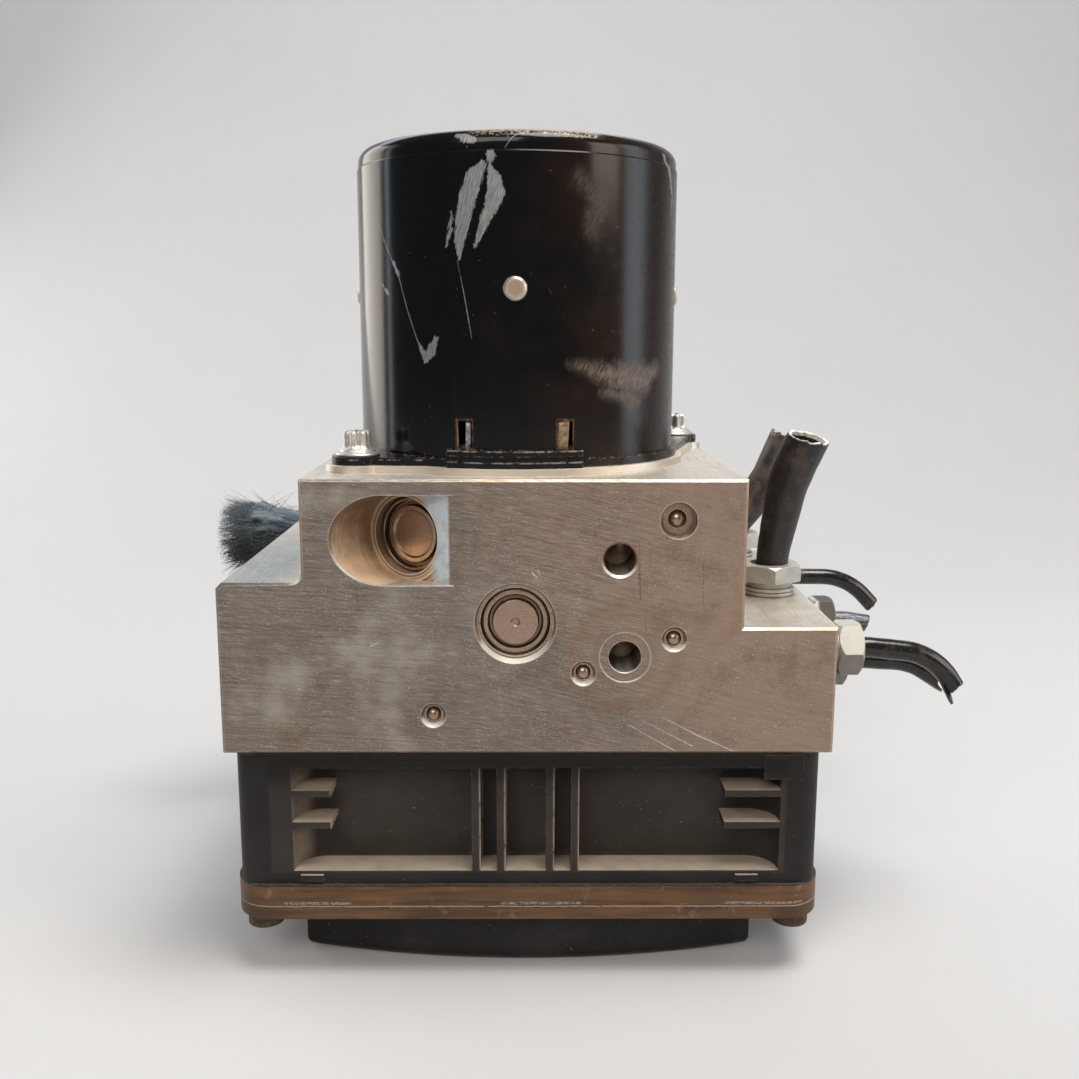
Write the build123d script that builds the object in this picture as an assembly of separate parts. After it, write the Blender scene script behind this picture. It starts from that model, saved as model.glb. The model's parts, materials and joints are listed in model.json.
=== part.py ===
from build123d import *
import os
from math import atan2, cos, degrees, hypot, radians, sin, sqrt, tan

os.makedirs("parts", exist_ok=True)

# Anti-lock brake hydraulic unit: an aluminium valve block with a pump motor on top and an
# electronic unit below, standing on the lid of that unit.  All sizes in mm.
# +X is to the right of the front face, +Y runs from the front face to the rear, +Z is up.
# The origin is the centre of the flat floor of the lid.

# General fits
slip_gap = 0.05            # radial or end gap between parts that only locate each other
running_gap = 0.04         # radial gap of a piece that slides or turns
loose_gap = 0.3            # gap round a coil, a pin or a moulded part
screw_gap = 0.25           # radial gap round a screw that passes through

# Electronic unit, from the floor up
lid_bulge_depth = 13.8
lid_rim_height = 3.0
housing_rim_height = 5.0
housing_wall_height = 29.8
seal_thickness = 1.4
housing_width = 127.4
housing_depth = 82.0
housing_corner = 4.0
housing_panel = 1.6        # wall left behind the front recess
rim_stand_x = 1.3          # how far the rim stands out from the walls
rim_stand_y = 1.0
rim_corner = 8.0
housing_top_flange = 3.1
housing_bottom_flange = 3.0
cavity_width = 104.4
cavity_depth = 64.0
cavity_corner = 5.0
cavity_drop = 4.0          # depth of the wider pocket that opens into the lid

# Front panel of the housing
front_recess_width = 106.4
front_recess_shift = 1.8
front_recess_corner = 6.5
upright_rib_places = (-11.4, -5.95, 4.75, 10.15)
upright_rib_width = 1.85
shelf_rib_drops = (9.6, 16.9)
shelf_rib_thickness = 1.5
shelf_rib_length_left = 8.5
shelf_rib_length_right = 12.2
side_recess_depth = 3.2
side_recess_length = 52.0
side_recess_corner = 2.0
side_rib_count = 4
latch_width = 5.0
latch_height = 1.4
latch_stand = 0.7
latch_inset_left = 4.0
latch_inset_right = 7.0
pillar_cap_width = 8.6
pillar_cap_height = 5.6
pillar_cap_stand = 0.5

# Rear plug socket
socket_place_x = -10.0
socket_width = 54.0
socket_depth = 22.0
socket_wall = 2.0
socket_corner = 4.0
socket_height = 13.4
socket_floor = 2.0
socket_block_gap = 2.6
socket_tail = 3.0
contact_columns = 8
contact_rows = 2
contact_pitch = 4.8
contact_radius = 0.5
contact_rise = 8.0

# Lid
lid_wall = 2.2
bulge_inset_x = 13.5       # from the rim's edge to the bulge
bulge_inset_y = 6.0
bulge_sagitta = 7.0
bulge_edge = 2.6

# Circuit board
board_thickness = 1.6
board_drop = 28.6          # from the block's underside to the board's upper face
board_margin = 1.5
board_corner = 3.0
board_post_radius = 3.0
board_post_inset = 7.0
chip_places = ((-26.0, 8.0), (8.0, 6.0), (32.0, -14.0), (-4.0, -18.0))
chip_sizes = ((16.0, 16.0, 2.2), (20.0, 14.0, 2.0), (10.0, 10.0, 3.0), (14.0, 8.0, 1.8))

# Valve block
block_width = 130.0
block_depth = 88.0
block_height = 58.7
left_step = 17.9
right_step = 19.8
left_shoulder_height = 37.1
right_shoulder_height = 27.5
block_edge = 0.5
left_foot_edge = 1.3
left_inner_fillet = 2.2

# Motor seat on the block
motor_x = -2.7
motor_y = 0.0
land_height = 1.5
land_margin = 1.4
land_inset = 0.4

# Motor can
can_radius = 36.8
can_wall = 1.8
can_height = 68.5
can_top_edge = 3.0
can_step_drop = 4.6
can_step = 0.3
flange_radius = 37.9
flange_thickness = 1.8
ear_radius = 5.6
motor_bolt_offsets = ((-34.4, -27.5), (41.3, 27.5))   # from the motor's axis
can_bar_width = 28.8
can_bar_height = 3.7
can_bar_radius = 39.2
can_bar_shift = -0.2
can_window_width = 3.2
can_window_height = 5.8
can_window_offset = 10.6
dimple_radius = 2.35
dimple_stand = 0.7
dimple_height = 36.9
boss_radius = 10.0
boss_height = 2.6
boss_wall = 1.6

# Motor inside
magnet_thickness = 8.0
magnet_height = 34.0
magnet_base = 17.0
magnet_angle = 74.0
core_radius = 25.8
core_height = 27.0
core_base = 21.0
core_slots = 12
slot_width = 5.2
slot_depth = 9.0
slot_mouth = 2.0
tooth_tip = 1.6
winding_gap = 0.25
winding_overhang = 4.6
winding_inner_radius = 13.5
winding_outer_radius = 24.2
shaft_radius = 3.0
hub_radius = 5.0
commutator_radius = 9.0
commutator_base = 5.4
commutator_height = 11.0
commutator_bars = 12
commutator_slit = 0.5
brush_plate_thickness = 4.4
brush_width = 5.0
brush_height = 6.0
brush_length = 9.0
brush_lift = 2.4
brush_guide_wall = 1.2
brush_travel = 2.0
brush_spring_wire = 0.7
brush_spring_radius = 1.7
brush_spring_turns = 4
brush_spring_closed = 5.0

# Bearings
bearing_outer_radius = 8.0
bearing_thickness = 5.0
bearing_race = 1.6
bearing_groove = 0.6

# Eccentric and pump
pump_depth = 12.76         # from the block's upper face down to the pump axis
pump_angle = 31.9
eccentric_radius = 6.0
eccentric_throw = 1.2
eccentric_height = 9.0
ring_wall = 3.0
ring_height = 8.0
chamber_gap = 2.0
chamber_height = 14.0
shaft_tip_length = 5.6
pump_bore_radius = 8.25
pump_wall = 1.5
pocket_radius = 9.45
pocket_distance = 44.0
plug_recess = 2.4
plug_length = 8.0
plug_face_radius = 6.3
plug_groove_depth = 1.0
piston_radius = 3.0
piston_length = 15.5
pump_spring_wire = 0.8
pump_spring_radius = 2.4
pump_spring_turns = 4
pump_passage_radius = 4.2
sleeve_groove_width = 2.4
sleeve_groove_depth = 0.8

# Accumulators
accumulator_x = 28.0
accumulator_bore_radius = 9.05
accumulator_piston_height = 8.0
accumulator_cap_height = 2.4
accumulator_piston_recess = 1.5
accumulator_travel = 5.0
accumulator_spring_closed = 8.05
accumulator_spring_radius = 6.0
accumulator_spring_wire = 1.2
accumulator_spring_turns = 3
piston_seal_groove = 1.8

# Damper plugs on the front and rear faces
damper_x = -2.7
damper_height = 28.4
damper_mouth_radius = 8.6
damper_bore_radius = 7.4
damper_bore_depth = 12.0
damper_plug_length = 8.0
damper_plug_recess = 2.2
damper_face_radius = 5.0

# Solenoid valves
valve_columns = 4
valve_pitch_x = 28.0
valve_pitch_y = 44.0
valve_body_radius = 5.0
valve_bore_depth = 20.0
valve_collar_radius = 6.2
valve_collar_height = 1.0
dome_radius = 4.0
dome_length = 18.7
dome_wall = 0.9
plunger_length = 21.0
plunger_travel = 0.4
valve_seat_radius = 1.0
valve_nose = 2.0
coil_radius = 9.6
coil_length = 17.0
coil_flange = 1.4
coil_waist = 1.1
coil_pin_radius = 0.45
coil_pin_offset = 6.0
partition_thickness = 2.0

# Terminal post from the motor to the board
terminal_x = -1.7
terminal_y = 27.5
terminal_radius = 3.4
terminal_head_radius = 5.0
terminal_head_height = 1.2

# Mounting holes and ball plugs in the front face: x, height above the block's underside
mount_upper = (19.0, 42.0)
mount_lower = (20.3, 21.1)
mount_radius = 3.4
mount_depth = 13.0
mount_countersink = 0.5
mount_spotface_radius = 5.4
mount_spotface_depth = 0.4
cup_plug_place = (31.0, 50.2)
cup_plug_radius = 3.8
cup_bore_depth = 9.0
cup_recess = 3.0
cup_plug_length = 4.0
cup_hole_radius = 1.9
ball_places = ((30.6, 25.0), (11.6, 17.6), (-20.1, 8.4))
ball_radius = 1.55
ball_recess_radius = 2.7
ball_recess_depth = 1.3
ball_bore_depth = 5.0

# Suction unions on the right shoulder
union_places = ((56.9, -10.5), (55.5, 33.0))
union_hex = 13.6
union_hex_height = 3.9
union_collar_radius = 5.3
union_collar_height = 1.5
union_washer_radius = 6.0
union_washer_thickness = 1.0
union_washer_count = 2
union_shank_radius = 4.5
union_shank_length = 7.0
suction_radius = 4.3
suction_wall = 0.9
suction_flare = 0.8
suction_trim = 0.8         # how far the slanted cut shortens the tip
suction_cut = -10.0
# Corners of each line from its union's top: right, back and up, each with its bend radius.
suction_route_front = ((0.0, 0.0, 1.5, 8.0), (2.5, -4.1, 20.1, 14.0), (6.8, -6.6, 30.8, 0.0))
suction_route_rear = ((0.0, 0.0, 1.5, 6.0), (9.5, 0.0, 14.0, 20.0), (15.2, 0.0, 26.6, 0.0))
suction_stub = 3.0

# Brake line ports: nut and pipe
port_radius = 4.6
port_depth = 12.0
nut_hex = 11.5
nut_hex_length = 5.6
nut_collar_radius = 5.1
nut_collar_length = 6.0
nut_shank_length = 8.0
pipe_radius = 2.375
pipe_wall = 0.75
right_ports = ((-19.0, 16.5), (-7.0, 10.4), (6.0, 16.5))
rear_port = (36.0, 15.4)
# Corners of each pipe from its port's face: distance out, sideways and down, each with its bend radius.
pipe_a_route = ((14.0, 0.0, 0.0, 15.0), (30.1, 0.0, 1.7, 15.4), (35.2, 0.0, 10.9, 0.0))
pipe_b_route = ((14.0, 0.0, 0.0, 15.0), (28.0, 0.0, 0.8, 16.0), (36.0, 0.0, 5.6, 0.0))
pipe_c_route = ((15.0, 0.0, 0.0, 8.0), (21.8, 0.0, 1.0, 0.0))
pipe_d_route = ((21.0, 0.0, 0.0, 8.0), (21.0, 60.8, 0.0, 18.0), (21.0, 69.9, 9.7, 0.0))
cut_slants = {"a": -10.0, "b": -62.0, "c": 14.0, "d": -8.0}

# Screws and bolts
ecu_screw_radius = 2.5
ecu_screw_head_radius = 4.0
ecu_screw_head_height = 3.0
ecu_screw_inset_x = 6.0
ecu_screw_inset_y = 5.6
ecu_screw_grip = 9.0
pillar_radius = 5.6
motor_bolt_radius = 2.5
motor_bolt_grip = 10.0
bolt_flange_radius = 4.8
bolt_flange_height = 1.4
bolt_head_radius = 2.9
bolt_head_height = 4.0
bolt_lobe_radius = 0.85

# Harness plug and loom
plug_rise = 20.0
plug_overhang = 1.2
plug_grip_wall = 2.0
plug_depth_in_socket = 9.0
loom_height = 28.0         # axis above the block's underside
loom_radius = 6.6
loom_flare_radius = 10.6
loom_lift = 3.0
loom_length = 47.0
loom_collar_radius = 8.0
loom_collar_length = 5.0

# Levels and shared places
rim_width = housing_width + 2 * rim_stand_x
rim_depth = housing_depth + 2 * rim_stand_y
bulge_width = rim_width - 2 * bulge_inset_x
bulge_depth = rim_depth - 2 * bulge_inset_y
front_recess_depth = (housing_depth - cavity_depth) / 2 - housing_panel
rim_z = lid_bulge_depth
seam_z = rim_z + lid_rim_height
wall_z = seam_z + housing_rim_height
housing_top_z = wall_z + housing_wall_height
block_z = housing_top_z + seal_thickness
block_top_z = block_z + block_height
seat_z = block_top_z + land_height
pump_z = block_top_z - pump_depth
front_y = -block_depth / 2
rear_y = block_depth / 2
left_x = -block_width / 2
right_x = block_width / 2
left_shoulder_z = block_z + left_shoulder_height
right_shoulder_z = block_z + right_shoulder_height
partition_z = block_z - dome_length - loose_gap
board_z = block_z - board_drop - board_thickness
socket_y = rear_y + socket_block_gap + socket_depth / 2
ring_outer_radius = eccentric_radius + running_gap + ring_wall
ring_reach = eccentric_throw + ring_outer_radius
chamber_radius = ring_reach + chamber_gap
sleeve_start = chamber_radius + pump_wall
piston_start = ring_reach + slip_gap
pump_plug_start = pocket_distance - plug_recess - plug_length
bearing_seat_z = pump_z - chamber_height / 2
can_top_z = seat_z + can_height
can_inner_radius = can_radius - can_wall
upper_bearing_z = can_top_z + boss_height - boss_wall - bearing_thickness
commutator_z = seat_z + commutator_base
brush_z = seat_z + brush_plate_thickness + brush_lift + brush_height / 2
brush_start = commutator_radius + slip_gap
brush_spring_length = brush_spring_closed + brush_travel
accumulator_spring_base = accumulator_cap_height + accumulator_spring_closed + accumulator_travel
accumulator_piston_base = accumulator_spring_base - accumulator_piston_recess
accumulator_bore_depth = accumulator_piston_base + accumulator_piston_height + slip_gap
valve_row_x = [(i - (valve_columns - 1) / 2) * valve_pitch_x for i in range(valve_columns)]
inlet_places = [(x, -valve_pitch_y / 2) for x in valve_row_x]
outlet_places = [(x, valve_pitch_y / 2) for x in valve_row_x]
screw_places = [
    (sx * (rim_width / 2 - ecu_screw_inset_x), sy * (rim_depth / 2 - ecu_screw_inset_y))
    for sx in (-1, 1) for sy in (-1, 1)
]
bolt_places = [(motor_x + x, motor_y + y) for x, y in motor_bolt_offsets]
# A tapped hole's wall touches its screw's crest to the slip gap.
ecu_tap_radius = ecu_screw_radius + slip_gap
motor_tap_radius = motor_bolt_radius + slip_gap


def disc(radius, height, z=0.0):
    """Upright cylinder standing on z."""
    return Pos(0, 0, z) * Cylinder(radius, height, align=(Align.CENTER, Align.CENTER, Align.MIN))


def tube(outer, inner, height, z=0.0):
    return disc(outer, height, z) - disc(inner, height + 2, z - 1)


def block(length, depth, height, z=0.0):
    """Upright box standing on z, centred in plan."""
    return Pos(0, 0, z) * Box(length, depth, height, align=(Align.CENTER, Align.CENTER, Align.MIN))


def rounded(length, depth, corner, height, z=0.0):
    """Upright plate with rounded corners standing on z."""
    return Pos(0, 0, z) * extrude(RectangleRounded(length, depth, corner), height)


def hexagon(across_flats, height, z=0.0):
    return Pos(0, 0, z) * extrude(RegularPolygon(across_flats / 2, 6, major_radius=False), height)


def turned(points):
    """Solid of revolution about Z from (radius, height) points."""
    outline = Polyline(*[(r, 0, z) for r, z in points], close=True)
    return revolve(make_face(outline), Axis.Z)


def coil_spring(radius, wire, turns, length):
    """Open coil spring standing on z = 0, with its wire's ends inside its length."""
    rise = length - wire
    path = Helix(rise / turns, rise, radius)
    section = Plane(origin=path @ 0, z_dir=path % 0) * RegularPolygon(wire / 2, 6)
    return Pos(0, 0, wire / 2) * sweep(section, path, is_frenet=True)


def group(solids):
    """Like pieces kept as separate solids in one sub-part."""
    return Compound(children=[s for shape in solids for s in shape.solids()])


def at_places(shape, places, z=0.0):
    return [Pos(x, y, z) * shape for x, y in places]


def pump_frame(side):
    """Frame on the pump axis at the eccentric: z outwards, y up, x along the pocket's slot."""
    angle = radians(pump_angle)
    return Plane(
        origin=(motor_x, motor_y, pump_z),
        x_dir=(side * cos(angle), -side * sin(angle), 0),
        z_dir=(-side * sin(angle), -side * cos(angle), 0),
    )


def front_frame(x, height):
    """Frame on the block's front face: z outwards."""
    return Plane(origin=(x, front_y, block_z + height), x_dir=(1, 0, 0), z_dir=(0, -1, 0))


def rear_frame(x, height):
    return Plane(origin=(x, rear_y, block_z + height), x_dir=(-1, 0, 0), z_dir=(0, 1, 0))


def right_frame(y, height):
    return Plane(origin=(right_x, y, block_z + height), x_dir=(0, 1, 0), z_dir=(1, 0, 0))


damper_frames = [front_frame(damper_x, damper_height), rear_frame(2 * motor_x - damper_x, damper_height)]
port_frames = [right_frame(y, h) for y, h in right_ports] + [rear_frame(*rear_port)]
pump_frames = {"front": pump_frame(1), "rear": pump_frame(-1)}


def ear_outline(radius, margin):
    """Motor flange outline: a disc with a bolt ear at each side joined by tangents."""
    shape = Circle(radius + margin)
    for x, y in motor_bolt_offsets:
        reach = hypot(x, y)
        arm = Polyline(
            (reach, ear_radius + margin), (reach * 0.5, radius * 0.72 + margin),
            (reach * 0.5, -radius * 0.72 - margin), (reach, -ear_radius - margin), close=True,
        )
        shape += Rot(0, 0, degrees(atan2(y, x))) * (make_face(arm) + Pos(reach, 0) * Circle(ear_radius + margin))
    return shape


def hydraulic_block():
    outline = Polyline(
        (left_x, 0), (right_x, 0), (right_x, right_shoulder_height),
        (right_x - right_step, right_shoulder_height), (right_x - right_step, block_height),
        (left_x + left_step, block_height), (left_x + left_step, left_shoulder_height),
        (left_x, left_shoulder_height), close=True,
    )
    front = Plane(origin=(0, front_y, block_z), x_dir=(1, 0, 0), z_dir=(0, -1, 0))
    body = front * extrude(make_face(outline), -block_depth)
    inner = body.edges().filter_by(Axis.Y).sort_by_distance((left_x + left_step, 0, left_shoulder_z))[0]
    body = fillet(inner, left_inner_fillet)
    foot = body.edges().filter_by(Axis.Y).sort_by_distance((left_x, 0, left_shoulder_z))[0]
    body = chamfer(foot, left_foot_edge)
    body = chamfer(body.faces().sort_by(Axis.Y)[0].edges(), block_edge)
    body = chamfer(body.faces().sort_by(Axis.Y)[-1].edges(), block_edge)
    land = Pos(motor_x, motor_y, block_top_z - 1) * extrude(ear_outline(flange_radius, land_margin), land_height + 1)
    upper = Pos((left_step - right_step) / 2, 0, 0) * block(
        block_width - left_step - right_step - 2 * land_inset, block_depth - 2 * land_inset, seat_z)
    body += land & upper
    return body - block_cuts()


def block_cuts():
    """Everything drilled or milled out of the valve block."""
    cuts = [Pos(motor_x, motor_y, 0) * cut for cut in (
        disc(chamber_radius, seat_z - bearing_seat_z + 1, bearing_seat_z),
        disc(bearing_outer_radius + slip_gap, bearing_thickness + 1, bearing_seat_z - bearing_thickness),
        disc(shaft_radius + 1.5, shaft_tip_length, bearing_seat_z - bearing_thickness - shaft_tip_length + 1),
    )]
    slot = Circle(pocket_radius) + Pos(pocket_radius * 2.5, 0) * Rectangle(pocket_radius * 5, pocket_radius * 2)
    for frame in pump_frames.values():
        cuts.append(frame * (Pos(0, 0, pocket_distance) * extrude(slot, pocket_distance / 2)))
        cuts.append(frame * disc(pump_bore_radius, pocket_distance - sleeve_start + 1, sleeve_start))
        cuts.append(frame * disc(pump_passage_radius, sleeve_start))
    for frame in damper_frames:
        cuts.append(frame * disc(damper_bore_radius, damper_bore_depth + 1, -damper_bore_depth))
        cuts.append(frame * turned([
            (0, -damper_plug_recess + 0.6), (damper_bore_radius + 0.6, -damper_plug_recess + 0.6),
            (damper_mouth_radius, 0), (damper_mouth_radius, 1), (0, 1),
        ]))
    for x, y in bolt_places:
        cuts.append(Pos(x, y, 0) * disc(motor_tap_radius, motor_bolt_grip + 2, seat_z - motor_bolt_grip - 1))
    bore = disc(valve_body_radius + slip_gap, valve_bore_depth + 1)
    cuts += at_places(bore, inlet_places + outlet_places, block_z - 1)
    collar = disc(valve_collar_radius + slip_gap, valve_collar_height + 1)
    cuts += at_places(collar, inlet_places + outlet_places, block_z - 1)
    accumulators = [(-accumulator_x, 0), (accumulator_x, 0)]
    cuts += at_places(disc(accumulator_bore_radius, accumulator_bore_depth + 1), accumulators, block_z - 1)
    cuts += at_places(disc(ecu_tap_radius, ecu_screw_grip + 2), screw_places, block_z - 1)
    terminal_bore = disc(terminal_radius + slip_gap, seat_z - block_z + 2, block_z - 1)
    cuts.append(Pos(terminal_x, terminal_y, 0) * terminal_bore)
    for frame in port_frames:
        cuts.append(frame * disc(port_radius + slip_gap, port_depth + 1, -port_depth))
    for x, y in union_places:
        depth = union_shank_length + 1
        cuts.append(Pos(x, y, right_shoulder_z - depth) * disc(union_shank_radius + slip_gap, depth + 1))
    for place in (mount_upper, mount_lower):
        cuts.append(front_frame(*place) * turned([
            (0, -mount_depth - mount_radius * 0.6), (mount_radius, -mount_depth),
            (mount_radius, -mount_countersink),
            (mount_radius + mount_countersink, 0), (mount_radius + mount_countersink, 1), (0, 1),
        ]))
    cuts.append(front_frame(*mount_lower) * disc(mount_spotface_radius, 1, -mount_spotface_depth))
    cup_bore = disc(cup_plug_radius + slip_gap, cup_bore_depth + 1, -cup_bore_depth)
    cuts.append(front_frame(*cup_plug_place) * cup_bore)
    for place in ball_places:
        cuts.append(front_frame(*place) * disc(ball_radius + slip_gap, ball_bore_depth + 1, -ball_bore_depth))
        cuts.append(front_frame(*place) * turned([
            (0, -ball_recess_depth - 0.5), (ball_recess_radius - 0.7, -ball_recess_depth),
            (ball_recess_radius, 0), (ball_recess_radius, 1), (0, 1),
        ]))
    return cuts


def ball_plugs():
    """Balls pressed into the drilled passages, and the cup plug with its ball."""
    ball = Pos(0, 0, -ball_recess_depth - 0.6) * Sphere(ball_radius)
    balls = [front_frame(*place) * ball for place in ball_places]
    cup = disc(cup_plug_radius, cup_plug_length, -cup_recess - cup_plug_length)
    cup -= disc(cup_hole_radius + slip_gap, cup_plug_length * 0.6 + 1, -cup_recess - cup_plug_length * 0.6)
    cup_ball = Pos(0, 0, -cup_recess - cup_plug_length * 0.6 + cup_hole_radius) * Sphere(cup_hole_radius)
    return group(balls + [front_frame(*cup_plug_place) * part for part in (cup, cup_ball)])


def damper_plugs():
    """Round plugs over the damper chambers, with stepped rings and a centre dot."""
    top = -damper_plug_recess
    plug = turned([
        (0, top - damper_plug_length), (damper_bore_radius - slip_gap, top - damper_plug_length),
        (damper_bore_radius - slip_gap, top - 0.5), (damper_bore_radius - 0.7, top),
        (damper_face_radius + 0.9, top), (damper_face_radius + 0.5, top - 0.9),
        (damper_face_radius, top - 0.9), (damper_face_radius - 0.3, top + 0.5),
        (1.0, top + 0.5), (0.7, top + 0.2), (0, top + 0.2),
    ])
    return group([frame * plug for frame in damper_frames])


def pump_sleeve(frame):
    length = pump_plug_start - sleeve_start
    sleeve = tube(pump_bore_radius - slip_gap, piston_radius + running_gap, length, sleeve_start)
    groove = tube(pump_bore_radius + 1, pump_bore_radius - slip_gap - sleeve_groove_depth, sleeve_groove_width)
    for share in (0.25, 0.7):
        sleeve -= Pos(0, 0, sleeve_start + share * length) * groove
    return frame * sleeve


def pump_piston(frame):
    nose = 0.8
    end = piston_start + piston_length
    piston = turned([
        (0, piston_start), (piston_radius - nose, piston_start), (piston_radius, piston_start + nose),
        (piston_radius, end - 0.3), (piston_radius - 0.3, end), (0, end),
    ])
    return frame * piston


def pump_spring(frame):
    start = piston_start + piston_length
    spring = coil_spring(pump_spring_radius, pump_spring_wire, pump_spring_turns, pump_plug_start - start)
    return frame * (Pos(0, 0, start) * spring)


def pump_plug(frame):
    """Screwed plug of the pump bore, with the stepped rings of its staked face."""
    face = pocket_distance - plug_recess
    outer = pump_bore_radius - slip_gap
    rim = plug_face_radius + 1.0
    plug = turned([
        (0, pump_plug_start), (outer, pump_plug_start), (outer, face), (outer - 0.4, face + 0.5),
        (rim, face + 0.5), (rim - 0.2, face - plug_groove_depth), (plug_face_radius, face - plug_groove_depth),
        (plug_face_radius - 0.2, face), (plug_face_radius - 1.1, face), (plug_face_radius - 1.4, face - 0.4),
        (0, face - 0.4),
    ])
    return frame * plug


def accumulator_piston(x):
    base = accumulator_piston_base
    top = base + accumulator_piston_height
    radius = accumulator_bore_radius - running_gap
    groove = base + accumulator_piston_height * 0.5
    piston = turned([
        (accumulator_spring_radius - accumulator_spring_wire, accumulator_spring_base),
        (radius - 1.2, accumulator_spring_base),
        (radius - 1.0, base), (radius, base), (radius, groove), (radius - 1.0, groove),
        (radius - 1.0, groove + piston_seal_groove), (radius, groove + piston_seal_groove),
        (radius, top - 0.6), (radius - 0.6, top), (0, top), (0, accumulator_spring_base),
    ])
    return Pos(x, 0, block_z) * piston


def accumulator_spring(x):
    length = accumulator_spring_base - accumulator_cap_height
    spring = coil_spring(accumulator_spring_radius, accumulator_spring_wire, accumulator_spring_turns, length)
    return Pos(x, 0, block_z + accumulator_cap_height) * spring


def accumulator_caps():
    cap = disc(accumulator_bore_radius - slip_gap, accumulator_cap_height)
    cap -= disc(accumulator_spring_radius - accumulator_spring_wire, 0.8)
    return group(at_places(cap, [(-accumulator_x, 0), (accumulator_x, 0)], block_z))


def valve_body():
    """Valve cartridge above the block's underside and its thin dome below, z = 0 at the underside."""
    bore = dome_radius - dome_wall
    floor = -dome_length + dome_wall
    roof = floor + plunger_length + plunger_travel + 2 * slip_gap
    top = valve_bore_depth - slip_gap
    shell = turned([
        (0, -dome_length), (dome_radius - 0.8, -dome_length), (dome_radius, -dome_length + 0.8),
        (dome_radius, 0),
        (valve_collar_radius, 0), (valve_collar_radius, valve_collar_height),
        (valve_body_radius, valve_collar_height), (valve_body_radius, top - 5),
        (valve_body_radius - 0.9, top - 4.5), (valve_body_radius - 0.9, top), (0, top),
    ])
    nose_bore = turned([
        (0, floor), (bore, floor), (bore, roof - valve_nose), (valve_seat_radius, roof),
        (valve_seat_radius, top + 1), (0, top + 1),
    ])
    return shell - nose_bore


def plunger(place, shut):
    """Valve plunger with its cone: shut against the seat above, or open at the dome's floor."""
    x, y = place
    floor = block_z - dome_length + dome_wall + slip_gap + (plunger_travel if shut else 0)
    radius = dome_radius - dome_wall - running_gap
    body = turned([
        (0, 0), (radius - 0.4, 0), (radius, 0.4), (radius, plunger_length - valve_nose),
        (valve_seat_radius, plunger_length), (0, plunger_length),
    ])
    flute = Pos(radius, 0, 0) * disc(0.5, plunger_length)
    return Pos(x, y, floor) * (body - flute - Rot(0, 0, 180) * flute)


def solenoid_coil():
    """Bobbin, winding and yoke of one coil, with its two pins down to the board; z = 0 at its seat."""
    inner = dome_radius + loose_gap
    waist = coil_radius - coil_waist
    coil = turned([
        (inner, 0), (coil_radius, 0), (coil_radius, coil_flange), (waist, coil_flange + 0.5),
        (waist, coil_length - coil_flange - 0.5), (coil_radius, coil_length - coil_flange),
        (coil_radius, coil_length), (inner, coil_length),
    ])
    length = partition_z - board_z - board_thickness
    for side in (-1, 1):
        coil += Pos(side * coil_pin_offset, 0, 0) * disc(coil_pin_radius, length + 1, -length)
    return coil


def unit_outline(length, depth, corner, margin=0.0):
    """Plan of the electronic unit: the main plate and the tail under the plug socket."""
    tail_end = socket_y + socket_depth / 2 + socket_tail - margin
    tail_width = socket_width + 2 * socket_tail - 2 * margin
    tail = Pos(socket_place_x, tail_end / 2) * RectangleRounded(tail_width, tail_end, socket_corner + 1)
    return RectangleRounded(length - 2 * margin, depth - 2 * margin, corner) + tail


def screw_holes(height, z):
    return at_places(disc(ecu_screw_radius + screw_gap, height), screw_places, z)


def ecu_housing():
    """Moulded frame round the coils: recessed ribbed panels, corner pillars, rim and plug socket."""
    rim = Pos(0, 0, seam_z) * extrude(unit_outline(rim_width, rim_depth, rim_corner), housing_rim_height)
    walls = extrude(unit_outline(housing_width, housing_depth, housing_corner), housing_wall_height)
    body = rim + Pos(0, 0, wall_z) * walls
    recess_z = wall_z + housing_bottom_flange
    recess_height = housing_wall_height - housing_bottom_flange - housing_top_flange
    body -= front_recess(recess_z, recess_height)
    body -= side_recesses(recess_z, recess_height)
    body += front_ribs(recess_z, recess_height)
    body += front_trims()
    body -= rounded(cavity_width, cavity_depth, cavity_corner, housing_top_z - partition_z + 1, partition_z)
    below = partition_z - partition_thickness
    body -= rounded(cavity_width, cavity_depth, cavity_corner, below - seam_z + 1, seam_z - 1)
    pocket = unit_outline(rim_width, rim_depth, rim_corner, ecu_screw_inset_x + pillar_radius)
    body -= Pos(0, 0, seam_z - 1) * extrude(pocket, cavity_drop + 1)
    body -= screw_holes(housing_top_z - seam_z + 2, seam_z - 1)
    body -= partition_holes()
    post = disc(board_post_radius, below - board_z - board_thickness, board_z + board_thickness)
    for x, y in board_corners():
        body += Pos(x, y, 0) * post
    body += plug_socket()
    body -= socket_hollow()
    return body


def front_recess(z, height):
    """Recess of the front panel: its ends are concave quarter rounds between the corner pillars."""
    y = -housing_depth / 2
    corner = min(front_recess_corner, 0.9 * front_recess_depth)
    plan = Pos(front_recess_shift, y) * RectangleRounded(front_recess_width, 2 * front_recess_depth, corner)
    return Pos(0, 0, z) * extrude(plan, height)


def side_recesses(z, height):
    recesses = []
    plan = RectangleRounded(2 * side_recess_depth, side_recess_length, side_recess_corner)
    for side in (-1, 1):
        x = side * housing_width / 2
        recesses.append(Pos(x, 0, z) * extrude(plan, height))
        pitch = side_recess_length / (side_rib_count + 1)
        for i in range(side_rib_count):
            y = (i - (side_rib_count - 1) / 2) * pitch
            recesses[-1] -= Pos(x, y, z) * block(2 * side_recess_depth + 1, upright_rib_width, height)
    return recesses


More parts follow.
